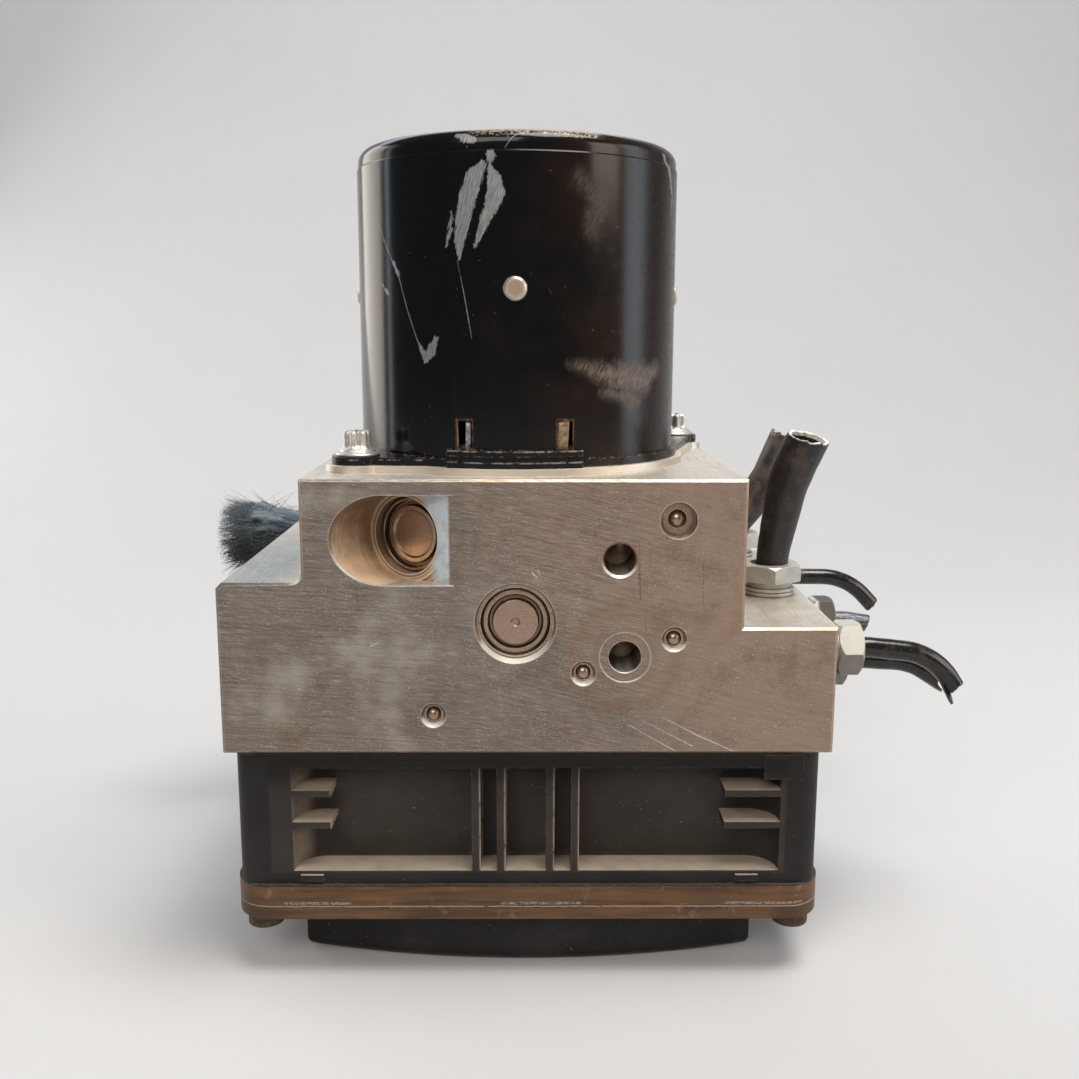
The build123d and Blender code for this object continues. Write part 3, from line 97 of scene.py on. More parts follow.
class Graph:  # one finish: its node tree, with lengths in millimetres and its tones by name
    def __init__(self, name, tones=None):
        self.tones = tones
        self.material = bpy.data.materials.new(name)
        self.material.use_nodes = True
        self.tree = self.material.node_tree
        self.shader = self.tree.nodes["Principled BSDF"]
        self.place = self.vector("SCALE", self.node("ShaderNodeTexCoord", output=3), Scale=1000)
        self.x, self.y, self.z = (
            self.node("ShaderNodeSeparateXYZ", inputs={0: self.place}, output=i) for i in range(3))

    def node(self, kind, settings=None, inputs=None, output=0):
        made = self.tree.nodes.new(kind)
        for key, value in (settings or {}).items():
            setattr(made, key, value)
        for key, value in (inputs or {}).items():
            self.join(made.inputs[key], value)
        return Value(self, made.outputs[output])

    def join(self, socket, value):
        if isinstance(value, str):
            value = self.tones[value]
        if isinstance(value, Value):
            self.tree.links.new(value.socket, socket)
        elif isinstance(value, tuple) and len(value) == 3 and socket.type == "RGBA":
            socket.default_value = (*value, 1)
        else:
            socket.default_value = value

    def vector(self, operation, *values, output=0, **extra):
        inputs = {**dict(enumerate(values)), **extra}
        return self.node("ShaderNodeVectorMath", {"operation": operation}, inputs, output)

    def point(self, x, y):
        return self.node("ShaderNodeCombineXYZ", None, {0: x, 1: y})

    def noise(self, scale, detail=3.0, rough=0.55, where=None):
        inputs = {"Vector": where or self.place, "Scale": scale, "Detail": detail, "Roughness": rough}
        return self.node("ShaderNodeTexNoise", None, inputs)

    def swing(self, scale, reach, detail=3.0, rough=0.55):  # noise about zero
        return (self.noise(scale, detail, rough) - 0.5) * reach

    def streaks(self, detail, rough, scale, turn=(0, 0, 0)):  # noise turned, then scaled
        angles = tuple(math.radians(-a) for a in turn)
        turned = self.node("ShaderNodeMapping", None, {"Vector": self.place, "Rotation": angles})
        where = self.node("ShaderNodeMapping", None, {"Vector": turned, "Scale": scale})
        return self.noise(1.0, detail, rough, where)

    def mix(self, factor, first, second):
        return self.node("ShaderNodeMix", {"data_type": "RGBA"}, {0: factor, 6: first, 7: second}, 2)

    def coat(self, share, tone):  # lays a tone over the colour so far
        self.colour = self.mix(share, self.colour, tone)

    def toned(self, name, share):  # a tone made lighter or darker
        return tuple(c * share for c in self.tones[name])

    def shift(self, factor, first, second):  # number that moves from first to second
        return self.node("ShaderNodeMix", {"data_type": "FLOAT"}, {0: factor, 2: first, 3: second})

    def facing(self, axis):  # how far the surface faces along +X, +Y or +Z
        normal = self.node("ShaderNodeNewGeometry", output=1)
        return self.node("ShaderNodeSeparateXYZ", None, {0: normal}, axis)

    def edges(self, radius, low=0.02, high=0.2):  # 1 along sharp edges
        rounded = self.node("ShaderNodeBevel", {"samples": 6}, {"Radius": radius * mm})
        flat = self.node("ShaderNodeNewGeometry", output=1)
        return (1 - self.vector("DOT_PRODUCT", rounded, flat, output=1)).step(low, high)

    def hollows(self, distance):  # 1 in corners and crevices
        return 1 - self.node("ShaderNodeAmbientOcclusion", {"samples": 6}, {"Distance": distance * mm}, 1)

    def strokes(self, where, lines):  # height above the edge of drawn lines: (u, v, half width) points
        best = None
        for line in lines:
            for (u0, v0, w0), (u1, v1, w1) in zip(line, line[1:]):
                along = Vector((u1 - u0, v1 - v0, 0))
                away = self.vector("SUBTRACT", where, (u0, v0, 0))
                share = self.vector("DOT_PRODUCT", away, tuple(along / along.length_squared), output=1)
                share = share.maths("ADD", share, 0.0, clamp=True)
                foot = self.vector("SCALE", tuple(along), Scale=share)
                gap = share * (w1 - w0) + w0 - self.vector("DISTANCE", away, foot, output=1)
                best = gap if best is None else best.over(gap)
        return best

    def bump(self, height, depth):
        return self.node("ShaderNodeBump", None, {"Height": height, "Distance": depth * mm, "Strength": 1.0})

    def finish(self, rough, metal, normal, **others):  # others: more inputs of the shader, by name
        inputs = {"Base Color": self.colour, "Roughness": rough, "Metallic": metal, "Normal": normal}
        for key, value in {**inputs, **others}.items():
            self.join(self.shader.inputs[key.replace("_", " ")], value)
        return self.material


# Mesh helpers


def fromNode(node, flatAngle=0.4):  # merged copy of a CAD solid, with its flat faces whole
    shell = bmesh.new()
    shell.from_mesh(nodes[node].data)
    bmesh.ops.remove_doubles(shell, verts=shell.verts, dist=0.5e-6)
    bmesh.ops.dissolve_limit(
        shell, angle_limit=math.radians(flatAngle), verts=shell.verts, edges=shell.edges, delimit={"NORMAL"})
    return shell


def clamped(value):
    return min(1.0, max(0.0, value))


def meshOf(name, shell):
    mesh = bpy.data.meshes.new(name)
    shell.to_mesh(mesh)
    shell.free()
    return mesh


def addObject(name, data):
    made = bpy.data.objects.new(name, data)
    bpy.context.scene.collection.objects.link(made)
    return made


def makePiece(name, shell, materials, stands=(), creaseAngle=32.0, body="unit"):
    for edge in shell.edges:
        edge.smooth = len(edge.link_faces) == 2 and edge.calc_face_angle(0) < math.radians(creaseAngle)
    for face in shell.faces:
        face.smooth = True
    piece = addObject(name, meshOf(name, shell))
    for material in materials:
        piece.data.materials.append(material)
    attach(piece, body)
    if stands:
        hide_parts(*stands)
    return piece


def softenEdges(piece, width, segments=2, angle=32.0):
    modifier = piece.modifiers.new("softEdges", "BEVEL")
    modifier.width = width * mm
    modifier.segments = segments
    modifier.limit_method = "ANGLE"
    modifier.angle_limit = math.radians(angle)
    modifier.harden_normals = True


def lathe(profile, steps):  # shell turned about Z from (radius, height) points in mm
    shell = bmesh.new()
    verts = [shell.verts.new((r * mm, 0, z * mm)) for r, z in profile]
    edges = [shell.edges.new(pair) for pair in zip(verts, verts[1:])]
    turn = {"axis": (0, 0, 1), "cent": (0, 0, 0), "angle": 2 * math.pi}
    bmesh.ops.spin(shell, geom=verts + edges, steps=steps, use_merge=True, **turn)
    bmesh.ops.remove_doubles(shell, verts=shell.verts, dist=1e-7)
    bmesh.ops.recalc_face_normals(shell, faces=shell.faces)
    return shell


def merged(shells):
    whole = bmesh.new()
    for shell in shells:
        part = meshOf("part", shell)
        whole.from_mesh(part)
        bpy.data.meshes.remove(part)
    return whole


def bendRoute(points, step):  # from (x, y, z, bend radius) corners, points along runs joined by arcs, in mm
    corners = [Vector(p[:3]) for p in points]
    route = [corners[0]]
    for before, corner, after, (_, _, _, radius) in zip(corners, corners[1:], corners[2:], points[1:]):
        into = (corner - before).normalized()
        out = (after - corner).normalized()
        turn = into.angle(out)
        cut = radius * math.tan(turn / 2)
        centre = corner + (out - into).normalized() * radius / math.cos(turn / 2)
        arm = corner - into * cut - centre
        axis = into.cross(out).normalized()
        count = max(3, round(radius * turn / step))
        for i in range(count + 1):
            route.append(centre + Matrix.Rotation(turn * i / count, 3, axis) @ arm)
    route.append(corners[-1])
    return route


def spaced(route, step):  # the same route with its points a step apart
    points = [route[0]]
    for start, end in zip(route, route[1:]):
        count = max(1, round((end - start).length / step))
        points += [start.lerp(end, i / count) for i in range(1, count + 1)]
    return points


def bendAlong(shell, route):  # bends a shell drawn straight up Z onto a route in mm
    lengths = [0.0]
    for start, end in zip(route, route[1:]):
        lengths.append(lengths[-1] + (end - start).length)
    frames = []
    side = Vector((0, 0, 1)).cross(route[1] - route[0])
    side = (side if side.length > 1e-3 else Vector((1, 0, 0))).normalized()
    for i in range(len(route)):
        ahead = (route[min(i + 1, len(route) - 1)] - route[max(i - 1, 0)]).normalized()
        side = (side - ahead * side.dot(ahead)).normalized()
        frames.append((ahead, side, ahead.cross(side)))
    for vert in shell.verts:
        along = vert.co.z / mm
        i = max(0, min(len(route) - 2, sum(1 for level in lengths if level <= along) - 1))
        share = (along - lengths[i]) / (lengths[i + 1] - lengths[i])
        centre = route[i] + (route[i + 1] - route[i]) * share
        blend = clamped(share)
        side = frames[i][1].lerp(frames[i + 1][1], blend).normalized()
        up = frames[i][2].lerp(frames[i + 1][2], blend).normalized()
        vert.co = centre * mm + side * vert.co.x + up * vert.co.y
    bmesh.ops.recalc_face_normals(shell, faces=shell.faces)


print("helpers ready")


# Camera, stage and lights

view = {"place": (0.000686, -0.27397, 0.140432), "turn": 0.007, "down": 0.177, "lean": 0.002, "lens": 37.863}
studio = {
    "floorColour": (0.47, 0.47, 0.48),
    "floorReach": 3,
    "floorBack": 1.1,
    "wallHeight": 2.4,
    "sweep": 0.7,
    "worldColour": (0.8, 0.83, 0.88),
    "worldStrength": 0.15,
    "lamps": {
        # name: (place, target, width, height, watts, colour)
        "frontSoft": ((-0.45, -1.35, 1.15), (0, 0, 0.08), 1.1, 0.8, 15, (1, 0.95, 0.9)),
        "leftBand": ((-0.87, 0.6, 0.3), (0, 0, 0.14), 0.6, 0.9, 6.2, (1, 0.93, 0.84)),
        "leftLine": ((-1.08, 0.21, 0.3), (0, 0, 0.14), 0.06, 0.9, 0.7, (0.8, 0.9, 1)),
        "rightBand": ((1.05, 0, 0.36), (0, 0, 0.14), 0.36, 0.8, 3.2, (0.8, 0.9, 1)),
        "rightWarm": ((1.1, -0.55, 0.55), (0, 0, 0.06), 0.5, 0.5, 4, (1, 0.86, 0.72)),
        "topSoft": ((0.32, -0.22, 1.35), (0, 0, 0.1), 0.8, 0.6, 20, (1, 0.97, 0.92)),
        "backBlue": ((-0.2, 0.95, 0.95), (0, 0, 0.16), 1.5, 0.25, 3.2, (0.74, 0.87, 1)),
    },
}


def aim(thing, ahead):
    thing.rotation_mode = "QUATERNION"
    thing.rotation_quaternion = ahead.to_track_quat("-Z", "Y")


def makeCamera():
    data = bpy.data.cameras.new("camera")
    data.lens = view["lens"]
    data.sensor_width = 36
    data.clip_start = 0.01
    camera = addObject("camera", data)
    turn, down = view["turn"], view["down"]
    ahead = Vector((math.sin(turn) * math.cos(down), math.cos(turn) * math.cos(down), -math.sin(down)))
    camera.location = view["place"]
    aim(camera, ahead)
    lean = Matrix.Rotation(view["lean"], 3, "Z").to_quaternion()
    camera.rotation_quaternion = camera.rotation_quaternion @ lean
    bpy.context.scene.camera = camera


def makeStage():
    shell = bmesh.new()
    reach, back = studio["floorReach"], studio["floorBack"]
    corners = ((-reach, -reach, 0), (reach, -reach, 0), (reach, back, 0), (-reach, back, 0))
    floor = shell.faces.new([shell.verts.new(corner) for corner in corners])
    rear = next(e for e in floor.edges if all(abs(v.co.y - back) < 1e-6 for v in e.verts))
    wall = bmesh.ops.extrude_edge_only(shell, edges=[rear])["geom"]
    raised = [g for g in wall if isinstance(g, bmesh.types.BMVert)]
    bmesh.ops.translate(shell, verts=raised, vec=(0, 0, studio["wallHeight"]))
    bmesh.ops.bevel(
        shell, geom=[rear], offset=studio["sweep"], segments=16, profile=0.5, affect="EDGES", material=-1)
    for face in shell.faces:
        face.smooth = True
    floorPiece = addObject("floor", meshOf("floor", shell))
    g = Graph("floorPaper", studio)
    g.colour = g.mix(g.noise(0.01), "floorColour", g.toned("floorColour", 1.05))
    floorPiece.data.materials.append(g.finish(0.9, 0, g.bump(g.noise(1.2, 2), 0.04)))


def makeLights():
    world = bpy.data.worlds.new("studio")
    bpy.context.scene.world = world
    world.use_nodes = True
    background = world.node_tree.nodes["Background"]
    background.inputs[0].default_value = (*studio["worldColour"], 1)
    background.inputs[1].default_value = studio["worldStrength"]
    for name, (place, target, width, height, watts, colour) in studio["lamps"].items():
        data = bpy.data.lights.new(name, "AREA")
        data.shape = "RECTANGLE"
        data.size = width
        data.size_y = height
        data.energy = watts
        data.color = colour
        lamp = addObject(name, data)
        lamp.visible_camera = False
        lamp.location = place
        aim(lamp, Vector(target) - Vector(place))
    bpy.context.scene.view_settings.view_transform = "Standard"


makeCamera()
makeStage()
makeLights()
print("camera, stage and lights ready")


# Finishes of the shown pieces

# Places shared by the finishes, in mm
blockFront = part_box("hydraulic_block")[0].y / mm
motorX = sum(corner.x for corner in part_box("armature_core")) / 2 / mm
motorFoot = (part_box("motor_can")[0] / mm).z
pumpLevel = sum(corner.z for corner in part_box("pump_plug_front")) / 2 / mm
canRadius = 36.8
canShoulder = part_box("motor_can")[1].z / mm - 2.6  # where the can's wall turns into its top

blockFinish = {
    "grey": (0.275, 0.238, 0.202), "warm": (0.385, 0.276, 0.21), "dark": (0.085, 0.06, 0.045),
    "top": (0.64, 0.6, 0.53), "reflectedBlue": (0.215, 0.255, 0.29), "land": (0.7, 0.63, 0.54),
    "stain": (0.2, 0.115, 0.065), "black": (0.04, 0.028, 0.02), "bright": (0.86, 0.82, 0.74),
    "tan": (0.76, 0.56, 0.38), "deepTan": (0.26, 0.16, 0.095), "facet": (0.56, 0.61, 0.64),
    "pocketAxis": (-0.528, -0.849), "pocketX": (-43, -13), "pocketZ": (88.5, 109), "landLevel": 111.75,
    "hole": (20.3, 74.1, 0), "holeRings": ((11, 1.6), (6.2, 0.7)),
    "brownPatches": (
        [(-50, 64, 1), (-51.5, 58, 2.2), (-50.5, 54.5, 1.6)],
        [(43.6, 90, 0.5), (44.2, 82, 1.6), (42, 79, 0.8)],
        [(8, 77.5, 0.8), (14, 83.5, 1.4), (23, 83, 1), (30.5, 79, 0.6)],
    ),
    "darkRuns": (
        [(22.9, 98.5, 0.12), (23.1, 91, 0.3), (23.3, 86.5, 0.1)],
        [(24.9, 98.8, 0.1), (25.2, 95, 0.2), (24.6, 91.5, 0.05)],
        [(24.2, 84.2, 0.1), (24.7, 79, 0.12)],
        [(36.2, 95, 0.08), (36.5, 83, 0.12)],
    ),
    "brightScratches": (
        [(28.5, 61, 0.05), (36, 57, 0.14), (44, 53.4, 0.1)],
        [(20.9, 59.6, 0.05), (31.5, 53.4, 0.12)],
        [(24, 60.4, 0.04), (35, 54.6, 0.12)],
        [(-33, 76.6, 0.15), (-31, 77.6, 0.05)],
        [(0.8, 92.3, 0.2), (1.9, 91.2, 0.1)],
        [(2, 92.9, 0.15), (2.4, 91.6, 0.1)],
    ),
}


def blockMetal():
    s = blockFinish
    g = Graph("blockMetal", s)
    front = (0 - g.y).step(-blockFront - 0.6, -blockFront - 0.2)
    flat = g.point(g.x, g.z)
    upward = g.facing(2)
    # Grey to warm: random tone, plus painted warm light that grows to the right and upwards
    broad = g.noise(0.035, 3, 0.6)
    toneAndWarmLight = (g.x * 0.01 + g.z * 0.006 - 0.05 + (broad - 0.5) * 1.5).step(0.15, 0.85)
    g.colour = g.mix(toneAndWarmLight, "grey", "warm")
    level = g.streaks(3, 0.65, (0.05, 0.6, 2.3), (0, 3, 0))
    slant = g.streaks(3, 0.65, (0.06, 0.7, 2.5), (0, 15, 0))
    brushed = g.shift((g.x + g.noise(0.06) * 30).step(-14, 20), level, slant)
    fine = g.streaks(2, 0.6, (0.25, 2.5, 6.5), (0, 8, 0))
    calm = 1 - g.x.step(10, 40) * (0 - g.y).step(40, 43) * 0.65
    g.coat((((brushed - 0.4).step(0, 0.28) * 0.34 + (fine - 0.42) * 1.1) * calm).over(0), "dark")
    g.coat((fine * -1 + 0.45).step(0, 0.14) * 0.4 * calm, "top")
    blotch = g.noise(0.12, 5, 0.7)
    g.coat(blotch.step(0.48, 0.72) * 0.34, "dark")
    g.coat(g.z.step(104, 52) * 0.16, "dark")
    # Painted sheen: lighter patches in the pale top tone, stronger towards the left
    paintedSheen = g.noise(0.05, 3, 0.6).step(0.5, 0.72) * (g.x * -0.012 + 0.55).step(0.2, 1)
    g.coat(paintedSheen * 0.35, "top")
    pits = g.noise(2.4, 2, 0.6).step(0.7, 0.76)
    g.coat(pits * 0.5, "dark")
    crowd = g.noise(0.09).step(0.35, 0.6)
    chalk = g.noise(2, 3, 0.85).step(0.635, 0.67) * crowd
    chalk = chalk.over(g.noise(3.6, 2, 0.8).step(0.665, 0.7) * (0.35 + crowd * 0.65))
    g.coat(chalk * 0.9, "bright")
    hair = g.streaks(2, 0.5, (0.1, 1, 7), (0, 9, 0)).step(0.72, 0.75)
    hair = hair.over(g.streaks(2, 0.5, (0.14, 1, 7), (0, 38, 0)).step(0.74, 0.77))
    g.coat(hair * 0.5, "bright")
    away = g.vector("DISTANCE", flat, s["hole"], output=1)
    rings = [(away - radius).size() * -1 + width + g.swing(0.25, 3) for radius, width in s["holeRings"]]
    brown = rings[0].over(rings[1])
    brown = brown.over(g.strokes(flat, s["brownPatches"]) + g.swing(0.3, 5, 4))
    brown = brown.step(-1.6, 2.4) * front
    g.coat(brown * 0.45, "stain")
    runs = (g.strokes(flat, s["darkRuns"]) + (g.noise(1.6) - 0.55) * 0.8).step(-0.05, 0.12) * front
    g.coat(runs * 0.6, "black")
    cut = (g.strokes(flat, s["brightScratches"]) + g.swing(2, 0.25, 2)).step(-0.05, 0.06) * front
    g.coat(cut * 0.5, "bright")
    # Up-facing faces: painted light from above in the pale top tone, and on the left shoulder a painted
    # bluish reflection
    top = upward.step(0.75, 0.95) * (0.85 + g.swing(0.25, 0.9, 4, 0.7)).under(1)
    g.coat(top, "top")
    cool = (0 - g.x - 50 + g.swing(0.08, 14)).step(-3, 5)
    cool = cool * (0 - g.y + 14 + (blotch - 0.5) * 30).step(-16, 40)
    grazed = g.streaks(4, 0.7, (1.6, 0.07, 1))
    g.coat(top * cool * (1.15 - grazed.step(0.45, 0.7)).under(1), "reflectedBlue")
    g.coat(top * grazed.step(0.5, 0.66) * 0.3, "dark")
    g.coat(top * g.noise(1.8, 4, 0.85).step(0.52, 0.6) * 0.45, "bright")
    g.coat(g.z.step(s["landLevel"], s["landLevel"] + 0.15), "land")
    axisX, axisY = s["pocketAxis"]
    inward = (g.y - blockFront).step(0.5, 0.9) * g.x.window(*s["pocketX"], 0.2)
    inward = inward * g.z.window(*s["pocketZ"], 0.4)
    ledge = upward.size().step(0.995, 0.999) * (1 - g.z.step(106, 107))
    inward = inward * (1 - g.y.step(-22, -21)) * (1 - ledge)
    depth = g.x * axisX + g.y * axisY
    turning = g.noise(1, 2, 0.6, g.vector("MULTIPLY", g.point(depth, g.z * 0.02), (2.6, 1, 1)))
    away = g.vector("LENGTH", g.point((g.x - motorX) * axisY - g.y * axisX, g.z - pumpLevel), output=1)
    # Pocket wall: tan with turning marks, and painted light and shade: lighter where it faces up, darker
    # deeper in
    shade = upward * 0.55 + 0.5 + (turning - 0.5) * 0.9 + g.swing(0.3, 0.8, 4)
    shade = shade - (depth - 46).step(5, -1) * 0.5
    wall = g.mix(shade.step(0.1, 1), "deepTan", "tan")
    facet = (g.facing(0) * axisX + g.facing(1) * axisY).step(0.95, 0.98)
    rings = g.noise(1, 1, 0.5, g.point(away * 1.9, 0)).step(0.4, 0.6)
    # Painted highlight: the flat end facets turn bright bluish in the facet tone
    facetHighlight = g.mix(g.noise(0.35).step(0.4, 0.75) * 0.6, "facet", "grey")
    ringed = g.mix(rings, "deepTan", "tan")
    wall = g.mix(facet, wall, g.mix((g.x + 21 + (g.z - pumpLevel) * 0.12).step(-1, 1.5), ringed, facetHighlight))
    g.coat(inward, wall)
    # Sloped faces towards the front: painted light, bright where they face up, dark tan where they face down
    slope = g.facing(1).step(-0.97, -0.88) * (0 - g.facing(1)).step(0.15, 0.35) * (1 - inward)
    slope = slope * g.x.size().step(50, 48) * g.z.window(56, 108, 1)
    lit = (upward + g.swing(0.35, 0.9, 4)).step(0.1, 0.65)
    g.coat(slope * 0.9, g.mix(lit, "deepTan", "bright"))
    # Painted highlight along the sharp edges
    edgeHighlight = g.edges(0.4, 0.015, 0.14) * g.noise(0.9).step(0.22, 0.48)
    g.coat(edgeHighlight * 0.85, "bright")
    rough = 0.42 + (brushed - 0.5) * 0.2 + (blotch - 0.5) * 0.2 + brown * 0.15 - cut * 0.1 - inward * 0.06
    height = brushed * 0.4 + fine * 0.15 + chalk * 0.3 - pits * 0.6 - cut * 0.8 + hair * 0.2
    metal = 0.86 - brown * 0.3 - runs * 0.6 - top * 0.25 - inward * 0.4 - slope * 0.35
    return g.finish(rough, metal, g.bump(height, 0.02))


plugFinish = {
    "steel": (0.38, 0.275, 0.205), "brown": (0.33, 0.225, 0.15), "rust": (0.11, 0.055, 0.028),
    "bright": (0.9, 0.84, 0.74),
}


def plugSteel():
    g = Graph("plugSteel", plugFinish)
    stain = g.noise(0.22, 4, 0.6)
    pumpSide = (0 - g.x).step(10, 12)
    g.colour = g.mix(stain.step(0.4, 0.7) * 0.4 + pumpSide * 0.45, "steel", "brown")
    grain = g.noise(2.6, 3, 0.75)
    g.coat(grain.step(0.5, 0.68) * 0.6, "rust")
    grime = (g.hollows(1.3) * 1.6).under(1)
    g.coat(grime * 0.85, "rust")
    specks = g.noise(3.4, 2).step(0.68, 0.73)
    g.coat(specks * 0.5, "bright")
    # Painted highlight along the edges
    g.coat(g.edges(0.25, 0.015, 0.12) * g.noise(0.8).step(0.25, 0.5) * 0.9, "bright")
    rough = 0.24 + stain * 0.12 + grime * 0.2
    return g.finish(rough, 0.95, g.bump(grain * 0.6 + stain, 0.02))


canFinish = {
    "black": (0.0034, 0.0036, 0.0042), "warmBlack": (0.0125, 0.0074, 0.0052), "bare": (0.24, 0.24, 0.24),
    "copper": (0.5, 0.31, 0.16), "rust": (0.2, 0.08, 0.03), "dust": (0.2, 0.155, 0.12),
    "dimple": (0.46, 0.39, 0.3),
    # degrees round the can from its front, height in mm, half width in mm
    "scars": (
        [(-10.3, 174.6, 0.7), (-12.8, 172.3, 1.7), (-15.3, 168.2, 1.8), (-17, 163.5, 1.6),
         (-17.9, 159.8, 1.2), (-18.3, 156, 0.3)],
        [(-20.6, 165.4, 0.15), (-21.4, 161.5, 0.5), (-22.8, 158.5, 0.1)],
        [(-7.7, 176.2, 0.9), (-8, 174.2, 0.3), (-6.6, 171.8, 1.4), (-6, 169.2, 1.8), (-7.2, 166.8, 1.6),
         (-9.3, 164.2, 1.1), (-10.7, 161.8, 0.8), (-13, 158.4, 0.25)],
        [(-19.5, 180.4, 0.3), (-15.8, 179.8, 0.9), (-13.1, 179.2, 0.5)],
        [(-45.2, 155.9, 0.35), (-42.7, 153.4, 0.4)],
        [(-33.6, 138.8, 0.3), (-31, 135.8, 0.8), (-28.6, 137.5, 1.1), (-26.9, 139.8, 0.6)],
        [(-52, 151.5, 0.1), (-48.4, 149.4, 0.4)],
        [(61.1, 179, 0.5), (66, 176, 0.7), (69.8, 171, 0.4), (68.4, 167, 0.2)],
    ),
    "scratches": (
        [(-53, 163.8, 0.05), (-48.9, 159.3, 0.1), (-42.7, 153.4, 0.14), (-38.8, 146.2, 0.12),
         (-34.3, 139.4, 0.16), (-31.5, 135.6, 0.25)],
        [(-19, 156.1, 0.04), (-16.8, 149.3, 0.1), (-15.4, 144.4, 0.13), (-14.2, 140, 0.05)],
        [(-3.3, 177.6, 0.05), (-1, 179.6, 0.12), (0.6, 180.3, 0.06)],
    ),
    "dustPatches": (
        [(19.1, 134.6, 0.8), (32.8, 132, 2.6), (48.4, 131.6, 3.4), (57.2, 133, 1.4)],
        [(30.8, 129, 1.2), (44.5, 127, 1.4)],
        [(21, 172, 2), (27.9, 168, 2.6), (24.9, 162, 1.6)],
    ),
    "wornRim": (-12, 26.9),
    "paleRim": (0.36, 0.33, 0.29),
    "hub": (0.52, 0.48, 0.41),
    "windows": (-13.5, 7.7),
    "studLevel": 36.9,
}


def canPaint():
    s = canFinish
    g = Graph("canPaint", s)
    arc = math.radians(canRadius)
    outX = g.x - motorX
    around = outX.maths("ARCTAN2", outX, 0 - g.y) * canRadius
    flat = g.point(around, g.z)
    radius = g.vector("LENGTH", g.point(outX, g.y), output=1)

    def unrolled(lines):
        return [[(degrees * arc, z, width) for degrees, z, width in line] for line in lines]

    grain = g.noise(1, 4, 0.75, g.vector("MULTIPLY", g.point(around - g.z * 0.3, g.z), (3.4, 0.3, 1)))
    ragged = g.noise(0.9, 4, 0.7)
    side = g.facing(2).size().step(0.9, 0.6)
    scar = g.strokes(flat, unrolled(s["scars"])) + (ragged - 0.5) * 1.3 + (grain - 0.5) * 1.8
    scar = scar.step(-0.08, 0.12)
    thin = (g.strokes(flat, unrolled(s["scratches"])) + (ragged - 0.5) * 0.25).step(-0.03, 0.05)
    low, high = (a * arc for a in s["wornRim"])
    crown = g.z + (ragged - 0.5) * 3 + g.swing(3, 3)
    worn = crown.step(canShoulder - 1.3, canShoulder - 0.3) * around.window(low, high, 3)
    worn = worn * (0 - g.y).step(26, 29)
    worn = worn * (radius + (ragged - 0.5) * 4).step(canRadius - 4, canRadius - 2.8)
    flange = 1 - g.z.step(motorFoot + 4, motorFoot + 4.2)
    nicks = g.edges(0.5, 0.03, 0.15) * g.noise(0.8, 4, 0.8).step(0.5, 0.6) * flange
    nicks = nicks.over(g.noise(2.4, 3, 0.7).step(0.66, 0.71) * flange * 0.8)
    g.colour = g.mix((g.noise(0.04) + outX * 0.01).step(0.45, 0.75), "black", "warmBlack")
    smear = (g.strokes(flat, unrolled(s["dustPatches"])) + g.swing(0.28, 5.5, 5, 0.7)).step(-1.6, 2.6)
    streak = g.noise(1, 4, 0.75, g.vector("MULTIPLY", g.point(around - g.z * 0.6, g.z), (1.6, 0.5, 1)))
    smear = smear * (0.25 + streak.step(0.35, 0.7) * 0.75) * side
    flecks = g.noise(2.2, 2, 0.6).step(0.73, 0.77) * g.noise(0.08, 2).step(0.45, 0.6)
    g.coat(smear * (0.85 - g.z.step(145, 150) * 0.6), "dust")
    g.coat(flecks * 0.7, "copper")
    bareTone = g.mix(grain.step(0.25, 0.7), g.toned("bare", 0.42), g.toned("bare", 1.35))
    bare = scar.over(thin * 0.8)
    g.coat(bare, bareTone)
    g.coat(worn.over(nicks * 0.7), g.mix(g.noise(1.8).step(0.4, 0.6), g.toned("copper", 0.6), "paleRim"))
    near = [((g.x - x).size() - 1.75 + (ragged - 0.5) * 0.6).step(0.3, 0)
            for x in s["windows"]]
    slots = near[0].over(near[1])
    slots = slots * (1 - g.z.step(motorFoot + 10.1, motorFoot + 10.4))
    slots = slots * g.z.step(motorFoot + 3.6, motorFoot + 3.9) * (0 - g.y).step(30, 32)
    g.coat(slots * ragged.step(0.42, 0.6) * 0.7, "rust")
    # Painted glints: broken bright lines along the lips of the bar, in the bare tone
    lips = g.z.window(motorFoot + 3.5, motorFoot + 3.75, 0.12)
    lips = lips.over(g.z.window(motorFoot + 1.15, motorFoot + 1.35, 0.12))
    lipGlints = lips * radius.step(38.3, 38.8) * g.noise(0.45, 4, 0.75).step(0.44, 0.6)
    g.coat(lipGlints * 0.9, "bare")
    quarter = canRadius * math.pi / 2
    nearest = around - (around / quarter).maths("ROUND", around / quarter) * quarter
    away = g.vector("LENGTH", g.point(nearest, g.z - motorFoot - s["studLevel"]), output=1)
    stud = (away + (ragged - 0.5) * 0.5).step(2.6, 2.3) * radius.step(canRadius - 0.3, canRadius - 0.1)
    hub = g.mix(away.step(1.35, 1.75), g.mix(g.noise(1.2), "copper", "dimple"), "hub")
    g.coat(stud, hub)
    metal = (bare * 0.55).over(worn * 0.7).over(stud * 0.85)
    matt = bare.over(worn).over(smear).over(slots).over(stud * 0.8).over(lipGlints)
    rough = 0.15 + g.noise(0.5, 4).step(0.5, 0.8) * 0.08 + matt * 0.34 + (g.x - motorX).step(18, 28) * 0.11
    relief = g.noise(0.25) * 0.12
    return g.finish(rough, metal, g.bump(relief, 0.06), IOR=1.34)


fittingFinish = {
    "zinc": (0.5, 0.47, 0.4), "cool": (0.38, 0.39, 0.365), "dull": (0.27, 0.24, 0.19),
    "glintWhite": (0.88, 0.86, 0.78), "nutShade": (0.03, 0.024, 0.019),
}


